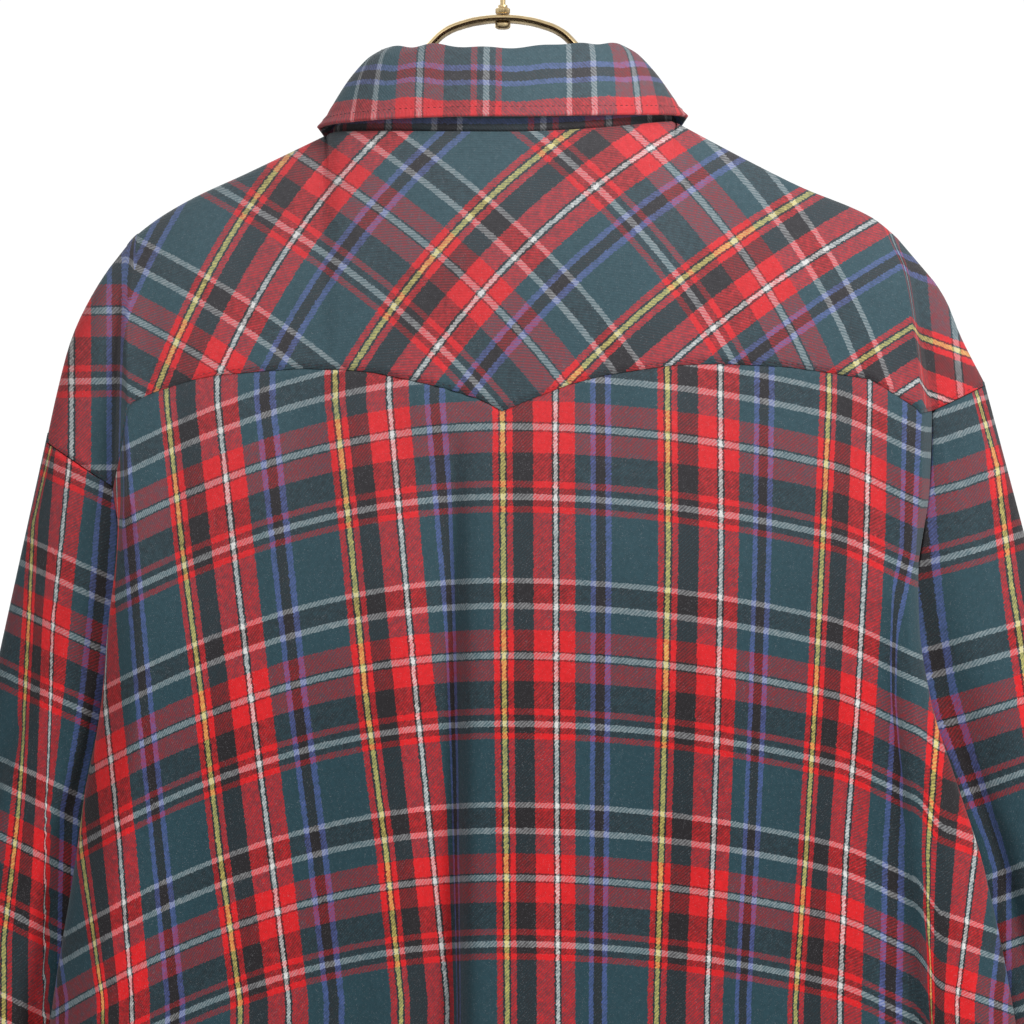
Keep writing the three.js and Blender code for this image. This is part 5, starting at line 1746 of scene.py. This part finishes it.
class Studio:
    """Floor, backdrop, light and camera, none of which belongs to the shirt."""

    FLOOR_Z = -0.99
    AMBIENT = 0.24

    def build(self) -> None:
        """Sets the stage."""
        s = Shader("pale_floor")
        grain = s.noise(s.place(), 30, 3)
        s.set(Base_Color=s.blend(grain, linear((236, 236, 236)), linear((242, 242, 242))), Roughness=0.8)
        bpy.ops.object.select_all(action="DESELECT")
        bpy.ops.mesh.primitive_plane_add(size=24, location=(0, 0, self.FLOOR_Z))
        floor = bpy.context.object
        floor.name = "floor"
        floor.data.materials.append(s.material)
        world = bpy.data.worlds.new("studio")
        world.use_nodes = True
        bpy.context.scene.world = world
        tree = world.node_tree
        sky = tree.nodes["Background"]
        sky.inputs[0].default_value = (1, 1, 1, 1)
        path = tree.nodes.new("ShaderNodeLightPath")
        seen = tree.nodes.new("ShaderNodeMath")
        seen.operation = "MAXIMUM"
        tree.links.new(path.outputs["Is Camera Ray"], seen.inputs[0])
        tree.links.new(path.outputs["Is Glossy Ray"], seen.inputs[1])
        level = tree.nodes.new("ShaderNodeMath")
        level.operation = "MULTIPLY_ADD"
        tree.links.new(seen.outputs[0], level.inputs[0])
        level.inputs[1].default_value = 1.05 - self.AMBIENT
        level.inputs[2].default_value = self.AMBIENT
        tree.links.new(level.outputs[0], sky.inputs[1])
        bpy.context.scene.view_settings.view_transform = "Standard"
        self.lamp("key", (-1.9, 2.0, 1.3), 0.9, 76.0)
        self.lamp("top", (0.7, 1.5, 1.3), 1.2, 13.0)
        self.lamp("front_fill", (0.6, -2.0, 0.6), 1.8, 16.0)
        data = bpy.data.cameras.new("camera")
        data.lens, data.sensor_width = View.LENS, 36
        camera = bpy.data.objects.new("camera", data)
        camera.location = (View.X * MM, View.Y * MM, View.Z * MM)
        camera.rotation_euler = (math.radians(90), 0, math.radians(180))
        bpy.context.collection.objects.link(camera)
        bpy.context.scene.camera = camera

    def lamp(self, name: str, place: tuple[float, float, float], size: float, power: float) -> None:
        """Adds a soft light that points at the middle of the shirt's back."""
        data = bpy.data.lights.new(name, "AREA")
        data.size, data.energy = size, power
        lamp = bpy.data.objects.new(name, data)
        lamp.location = place
        lamp.rotation_euler = (Vector((0, 0, -0.4)) - Vector(place)).to_track_quat("-Z", "Y").to_euler()
        bpy.context.collection.objects.link(lamp)


def body_stitching(thread: bpy.types.Material, back_yoke: np.ndarray, fronts: dict[str, np.ndarray],
                   back: np.ndarray, yokes: dict[str, np.ndarray], placket: np.ndarray) -> None:
    """Sews the yokes' edges, the placket and the hems."""
    sewn = Stitching("yoke_stitching", thread)
    sewn.row(*inset_line(back_yoke, grid_normals(back_yoke, (0, 1, 0)), 1.8))
    for grid in yokes.values():
        sewn.row(*inset_line(grid, grid_normals(grid, (0, -1, 0)), 1.8))
    sewn.finish()
    sewn = Stitching("hem_stitching", thread)
    sewn.row(*inset_line(back, grid_normals(back, (0, 1, 0)), 8.0))
    for grid in fronts.values():
        sewn.row(*inset_line(grid[6:], grid_normals(grid, (0, -1, 0))[6:], 8.0))
    sewn.finish()
    sewn = Stitching("placket_stitching", thread)
    facing = grid_normals(placket, (0, -1, 0))
    for turn in (1, -1):
        side = placket[::turn].transpose(1, 0, 2)
        sewn.row(*inset_line(side, facing[::turn].transpose(1, 0, 2), 5.0))
    sewn.finish()


def main() -> None:
    """Builds the shirt, its hanger and the studio, in that order."""
    logging.basicConfig(level=logging.INFO, format="%(name)s: %(message)s")
    flannel = TartanFlannel().make()
    thread = SewingThread().make()
    panels = Panels(flannel)
    back_yoke, _ = panels.back_yoke()
    back = panels.back_panel()
    rows = np.linspace(0, 1, 190)
    fronts = {side.name: panels.front(side, rows) for side in SIDES}
    placket = panels.placket(rows)
    yokes = {side.name: panels.front_yoke(side) for side in SIDES}
    for side in SIDES:
        sleeve = Sleeve(side, flannel, thread)
        sleeve.build()
        sleeve.cuff()
    collar = Collar(flannel, thread)
    collar.stand()
    collar.leaf()
    body_stitching(thread, back_yoke, fronts, back, yokes, placket)
    snap = Snap(Pearl().make(), PlatedMetal("snap_rim", (196, 190, 178), (120, 112, 100), 0.22, 0.4).make())
    for k in range(1, 7):
        snap.place_on_node(f"snap_front_{k}", (0, -1, 0.12 if k == 1 else 0))
    snap.place_on_node("snap_stand", (0, -0.9, 0.34))
    for side in SIDES:
        for k in (1, 2):
            snap.place_on_node(f"snap_cuff_{side.name}_{k}", (side.sign * 0.35, -0.94, 0))
    snap.clear()
    hanger = Hanger(PlatedMetal("antique_brass", (206, 184, 140), (112, 88, 58), 0.2, 0.7).make())
    hanger.arch()
    hanger.hook()
    hanger.fittings()
    Studio().build()


if __name__ == "__main__":
    main()
